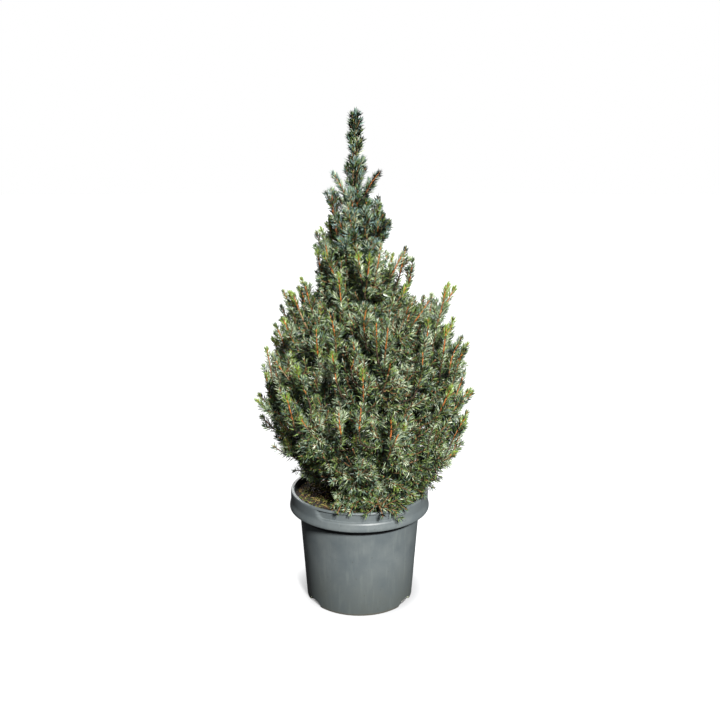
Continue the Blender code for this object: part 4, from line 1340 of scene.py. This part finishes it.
def tubes(corners, thick, thin, sides, rings):
    """Points and faces of closed tubes along cubic curves, all with the same count of rings."""
    count = len(corners)
    share = np.linspace(0.0, 1.0, rings)
    centres = on_curve(corners[:, None], np.tile(share, (count, 1)))
    ahead = along_curve(corners[:, None], np.tile(share, (count, 1)))
    square = np.broadcast_to(square_to(corners[:, 3] - corners[:, 0], 0.2)[:, None], ahead.shape)
    over = np.cross(ahead, square)
    over /= np.linalg.norm(over, axis=2)[..., None]
    across = np.cross(over, ahead)
    radius = thick[:, None] + (thin - thick)[:, None] * share
    turn = 2 * math.pi * np.arange(sides) / sides
    ring = across[:, :, None] * np.cos(turn)[:, None] + over[:, :, None] * np.sin(turn)[:, None]
    ring = centres[:, :, None] + ring * radius[:, :, None, None]
    ends = np.stack([centres[:, 0], centres[:, -1] + ahead[:, -1] * thin[:, None]], 1)
    points = np.concatenate([ring.reshape(count, -1, 3), ends], 1)
    faces = []
    for row in range(rings - 1):
        for side in range(sides):
            a, b = row * sides + side, row * sides + (side + 1) % sides
            faces += [(a, b, b + sides), (a, b + sides, a + sides)]
    last = (rings - 1) * sides
    for side in range(sides):
        following = (side + 1) % sides
        faces += [(sides * rings, following, side), (sides * rings + 1, last + side, last + following)]
    step = np.arange(count) * points.shape[1]
    return points.reshape(-1, 3), (np.array(faces)[None] + step[:, None, None]).reshape(-1, 3)


# %% Twigs
foliage_nodes = sorted(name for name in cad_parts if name.startswith("foliage_"))
young_wood, _ = new_material("young_spruce_shoot", "#a8602d", 0.55, 1.46)
second_wood, _ = new_material("second_year_spruce_twig", "#6d4f31", 0.75, 1.46)
older_wood, _ = new_material("older_spruce_twig", "#3c2c1f", 0.85, 1.46)
branch_twigs = [twig for twig in twigs if not twig.kind.startswith("side_")]
side_twigs = [twig for twig in twigs if twig.kind.startswith("side_")]


def part_of_curve(corners, low, high):
    """The corners of the part of each cubic curve between two shares, by repeated mixing."""
    made = []
    for mixes in ((low, low, low), (low, low, high), (low, high, high), (high, high, high)):
        left = corners
        for share in mixes:
            t = share[:, None, None]
            left = left[:, :-1] * (1 - t) + left[:, 1:] * t
        made.append(left[:, 0])
    return np.stack(made, 1)


def twig_arrays(chosen, low, high):
    """Corners and thicknesses of the part of each twig between two shares of its length."""
    corners = np.array([twig.corners for twig in chosen])
    thick = np.array([twig.thick for twig in chosen])
    fall = np.array([twig.thin for twig in chosen]) - thick
    return part_of_curve(corners, low, high), thick + fall * low, thick + fall * high


YOUNG_LENGTH = 0.040
LAP = 0.01  # two ages of wood overlap by this share, so that no gap shows


def needled_from(chosen):
    """The share along each branch where its needles begin."""
    return np.array([twig.bare for twig in chosen])


leading = [twig for twig in branch_twigs if twig.kind in ("leading", "spire")]
others = [twig for twig in branch_twigs if twig.kind not in ("leading", "spire", "carrier")]
carriers = [twig for twig in branch_twigs if twig.kind == "carrier"]
spans = np.array([np.linalg.norm(np.diff(twig.corners, axis=0), axis=1).sum() for twig in leading])
young_from = np.maximum(needled_from(leading), 1 - YOUNG_LENGTH / spans)
for label, finish, chosen, low, high, sides, rings in (
    ("twigs_older_wood", older_wood, others, 0.0, needled_from(others) + LAP, 4, 6),
    ("shoots_young_wood", young_wood, leading, young_from, 1.0, 6, 7),
    ("shoots_in_bark", second_wood, leading, needled_from(leading), young_from + LAP, 6, 5),
    ("shoots_second_year", second_wood, others, needled_from(others), 1.0, 5, 5),
    ("shoot_carriers", older_wood, carriers, 0.0, 1.0, 5, 7),
    ("side_shoots", second_wood, side_twigs, 0.0, 1.0, 3, 4),
):
    low, high = (np.broadcast_to(share, len(chosen)) for share in (low, high))
    points, faces = tubes(*twig_arrays(chosen, low, np.minimum(high, 1.0)), sides, rings)
    joined_piece(label, points, faces, finish, smooth=True)

# %% [markdown]
# ## The needles
#
# A spruce needle is four-sided, about 1 cm long and 1 mm thick, and pointed. It stands on its
# own little peg, so needles leave the shoot in a spiral, and they lean forward more and more
# towards the tip, where they close round the bud. Each needle here is the spindle made above,
# six faces, turned at random about its own length. They are a little thicker than life, as
# there are fewer of them than on the real plant.
#
# White wax in lines along two of its sides gives the needle its blue. How much of it shows
# differs from spray to spray, so the needles are dealt out by spray to a few plain colours: wax
# blue and frosted ones up the leader, yellow-green ones on fresh tips, and deeper greens, down to
# near black, inside the crown and under it, where they are painted shade. Most needles then stray
# a step or two from their spray's colour, more often darker than lighter: painted light and
# shade, as no two catch light alike.

# %% Needles along the twigs
NEEDLES_PER_METRE = {
    "leading": 1650, "spire": 1700, "outer": 700, "inner": 600, "deep": 540, "core": 560,
    "top": 1500, "leader": 1300, "carrier": 1100,
}
BRUSH = 9  # more needles that crowd round each tip, over its last 6 mm
BRUSH_LENGTH = 0.006
NEEDLE_LENGTH = 0.0120
LENGTH_SPREAD = (0.82, 1.12)
LENGTH_ALONG = ((0.0, 0.80), (0.12, 1.0), (0.85, 1.0), (1.0, 0.74))  # shorter at a shoot's ends
NEEDLE_WIDTH = 0.0015
NEEDLE_LEAN = ((0.0, 74), (0.55, 66), (0.85, 58), (0.95, 46), (1.0, 24))  # degrees from the shoot
CLOSE_LEAN = {"leading": 0.72, "spire": 0.74, "leader": 0.60, "top": 0.62}  # these hug their shoot
UPTURN = 0.06  # needles of a lying shoot turn up to the light
CURVE = 0.12  # how far a needle bends back along its shoot

kinds = [twig.kind.removeprefix("side_") for twig in twigs]
owner, share_on, order = [], [], []
for index, twig in enumerate(twigs):
    steps = np.diff(on_curve(twig.corners, np.linspace(twig.bare, 1, 9)), axis=0)
    length = np.linalg.norm(steps, axis=1).sum()
    count = max(5, round(length * NEEDLES_PER_METRE[kinds[index]]))
    brush = min(0.35, BRUSH_LENGTH / length)
    owner.append(np.full(count + BRUSH, index))
    share_on += [(np.arange(count) + 0.5) / count, 1 - brush * np.arange(BRUSH) / BRUSH]
    order.append(np.arange(count + BRUSH))
owner, share_on, order = map(np.concatenate, (owner, share_on, order))
total = len(owner)
print(total, "needles")

# %% How each needle stands
curves = np.array([twig.corners for twig in twigs])
bare = np.array([twig.bare for twig in twigs])
needle_rng = np.random.default_rng(5)
share_on = np.clip(share_on + needle_rng.normal(0, 0.006, total), 0.0, 1.0)
at = bare[owner] + (1 - bare[owner]) * share_on
foot = on_curve(curves[owner], at)
ahead = along_curve(curves[owner], at)
square = square_to(ahead, 0.1)
square /= np.linalg.norm(square, axis=1)[:, None]
over = np.cross(square, ahead)
turn = GOLDEN_ANGLE * order + needle_rng.uniform(0, 2 * math.pi, len(twigs))[owner]
turn += needle_rng.normal(0, 0.18, total)
outward = square * np.cos(turn)[:, None] + over * np.sin(turn)[:, None]
close = np.array([CLOSE_LEAN.get(kind, 1.0) for kind in kinds])
lean = np.interp(share_on, *zip(*NEEDLE_LEAN)) * close[owner]
lean = np.radians(lean + needle_rng.normal(0, 10, total))
way = ahead * np.cos(lean)[:, None] + outward * np.sin(lean)[:, None]
way[:, 2] += UPTURN * (1 - np.abs(ahead[:, 2]))
way /= np.linalg.norm(way, axis=1)[:, None]
size = NEEDLE_LENGTH * needle_rng.uniform(*LENGTH_SPREAD, total)
size *= np.interp(share_on, *zip(*LENGTH_ALONG))
size *= needle_rng.normal(1.0, 0.06, len(twigs))[owner]
wide = NEEDLE_WIDTH * needle_rng.uniform(0.80, 1.20, total)
print("needles", round(float(size.mean()) * 1000, 1), "mm long on average")

# %% The needles' points
across = np.cross(way, ahead)
across /= np.maximum(np.linalg.norm(across, axis=1), 1e-6)[:, None]
deep = np.cross(way, across)
roll = needle_rng.uniform(-1.0, 1.0, total)[:, None]  # no two needles turn the same side up
across, deep = across * np.cos(roll) + deep * np.sin(roll), deep * np.cos(roll) - across * np.sin(roll)
corners, needle_faces = spindle
rise = corners[:, 2]
spine = foot[:, None] + (way * size[:, None])[:, None] * rise[None, :, None]
bend = (ahead - way) * (size * CURVE)[:, None]
spine += bend[:, None] * (rise**2)[None, :, None]
points = spine + across[:, None] * (wide[:, None] * corners[:, 0])[..., None]
points += deep[:, None] * (wide[:, None] * corners[:, 1])[..., None]
print(points.shape[0] * points.shape[1], "points")

# %% Colours, dealt out by spray
TINTS = {
    "frosted": "#a2ac90", "silver_green": "#87957c", "blue_green": "#5f7363", "sage": "#6d7f45",
    "leaf_green": "#4a5f36", "deep_green": "#1f2e22", "shade_green": "#0b110d", "young_green": "#768c3d",
    "wax_blue": "#6d8681",
}
# the darkest greens stand for shade: inner, low, deep, core and carrier shoots get most of them, as painted
# shade inside and under the crown
SHARES = {  # frosted, silver, blue, sage, leaf, deep, shade
    "leading": (0.06, 0.16, 0.24, 0.30, 0.20, 0.04, 0.00),
    "spire": (0.02, 0.11, 0.33, 0.10, 0.18, 0.17, 0.09),
    "outer": (0.05, 0.15, 0.20, 0.26, 0.18, 0.10, 0.06),
    "inner": (0.03, 0.10, 0.14, 0.21, 0.23, 0.16, 0.13),
    "low": (0.00, 0.04, 0.12, 0.28, 0.30, 0.16, 0.10),
    "deep": (0.02, 0.05, 0.08, 0.12, 0.20, 0.28, 0.25),
    "core": (0.00, 0.00, 0.00, 0.01, 0.05, 0.26, 0.68),
    "leader": (0.01, 0.09, 0.34, 0.05, 0.17, 0.22, 0.12),
    "carrier": (0.00, 0.04, 0.10, 0.12, 0.28, 0.28, 0.18),
}
RIM_SHADE = 0.228  # twigs that end below this height are in the crown's shade, and take darker greens as painted shade
STRAY_SHARE = 0.85
FRESH_SHARE = {"leading": 0.58, "outer": 0.07}  # how many of these shoots have fresh tips
FRESH_FROM, FRESH_NEEDLES = 0.72, 0.75  # where a fresh tip begins, and how much of it is fresh
WAX_SHARE = 0.55  # how many of the pale needles at the top are wax blue
YOUNG, WAXED = 7, 8  # the places of the last two tints
tint_rng = np.random.default_rng(23)
tint_of_twig = np.empty(len(twigs), int)
for index, (kind, twig) in enumerate(zip(kinds, twigs)):
    if kind in ("outer", "inner") and twig.corners[3, 2] < RIM_SHADE:
        kind = "low"
    tint_of_twig[index] = tint_rng.choice(YOUNG, p=SHARES["leader" if kind == "top" else kind])
tint = tint_of_twig[owner]
stray = tint_rng.random(total) < STRAY_SHARE  # these stray lighter or darker: partly more or less wax, partly painted light and shade
tint[stray] = np.clip(tint[stray] + tint_rng.integers(-2, 4, stray.sum()), 0, YOUNG - 1)
fresh = np.array([
    twig.kind in FRESH_SHARE and tint_rng.random() < FRESH_SHARE[twig.kind] for twig in twigs
])
tint[fresh[owner] & (share_on > FRESH_FROM) & (tint_rng.random(total) < FRESH_NEEDLES)] = YOUNG
blue_top = np.array([kind in ("spire", "leader", "top") for kind in kinds])
tint[blue_top[owner] & (tint >= 1) & (tint <= 3) & (tint_rng.random(total) < WAX_SHARE)] = WAXED
print([int((tint == number).sum()) for number in range(len(TINTS))], "needles of each tint")

# %% The needles as pieces, one or more for each tint
MOST_NEEDLES = 33_000  # six faces each keeps a piece under 200,000 triangles
for number, (name, colour) in enumerate(TINTS.items()):
    finish, _ = new_material(f"spruce_needle_{name}", colour, 0.36, 1.45)
    mine = np.flatnonzero(tint == number)
    for part, first in enumerate(range(0, len(mine), MOST_NEEDLES)):
        chosen = points[mine[first : first + MOST_NEEDLES]]
        step = np.arange(len(chosen)) * len(corners)
        faces = (needle_faces[None] + step[:, None, None]).reshape(-1, 3)
        label = f"needles_{name}_{part + 1}"
        joined_piece(label, chosen.reshape(-1, 3), faces, finish, foliage_nodes)

# %% [markdown]
# ### Buds
#
# Each shoot ends in a small pointed bud with papery orange-brown scales, half hidden by the
# last needles. Seen head on, it is the dark dot in the middle of a rosette.

# %% Buds on the branch tips
bud_scales, _ = new_material("papery_bud_scales", "#785332", 0.6, 1.46)
bud_bm = bmesh.new()
bmesh.ops.create_icosphere(bud_bm, subdivisions=1, radius=0.5)
for vertex in bud_bm.verts:  # drawn out to a point, and its foot sunk in the shoot
    vertex.co.z = (vertex.co.z + 0.5) ** 1.3
bud_shape = shape_arrays(bud_bm)
BUD_WIDTH, BUD_LENGTH, BUD_SUNK = 0.0025, 0.0042, 0.0005
BUD_KINDS = ("leading", "spire", "outer", "inner", "top", "leader")
bud_curves = np.array([twig.corners for twig in twigs if twig.kind in BUD_KINDS])
ends = bud_curves[:, 3]
headings = along_curve(bud_curves, np.ones(len(bud_curves)))
side = np.cross(headings, (0.31, 0.95, 0.02))
side /= np.linalg.norm(side, axis=1)[:, None]
axes = np.stack([side * BUD_WIDTH, np.cross(headings, side) * BUD_WIDTH, headings * BUD_LENGTH], 1)
points, faces = laid_copies(bud_shape, ends - headings * BUD_SUNK, axes)
joined_piece("shoot_buds", points, faces, bud_scales, smooth=True)
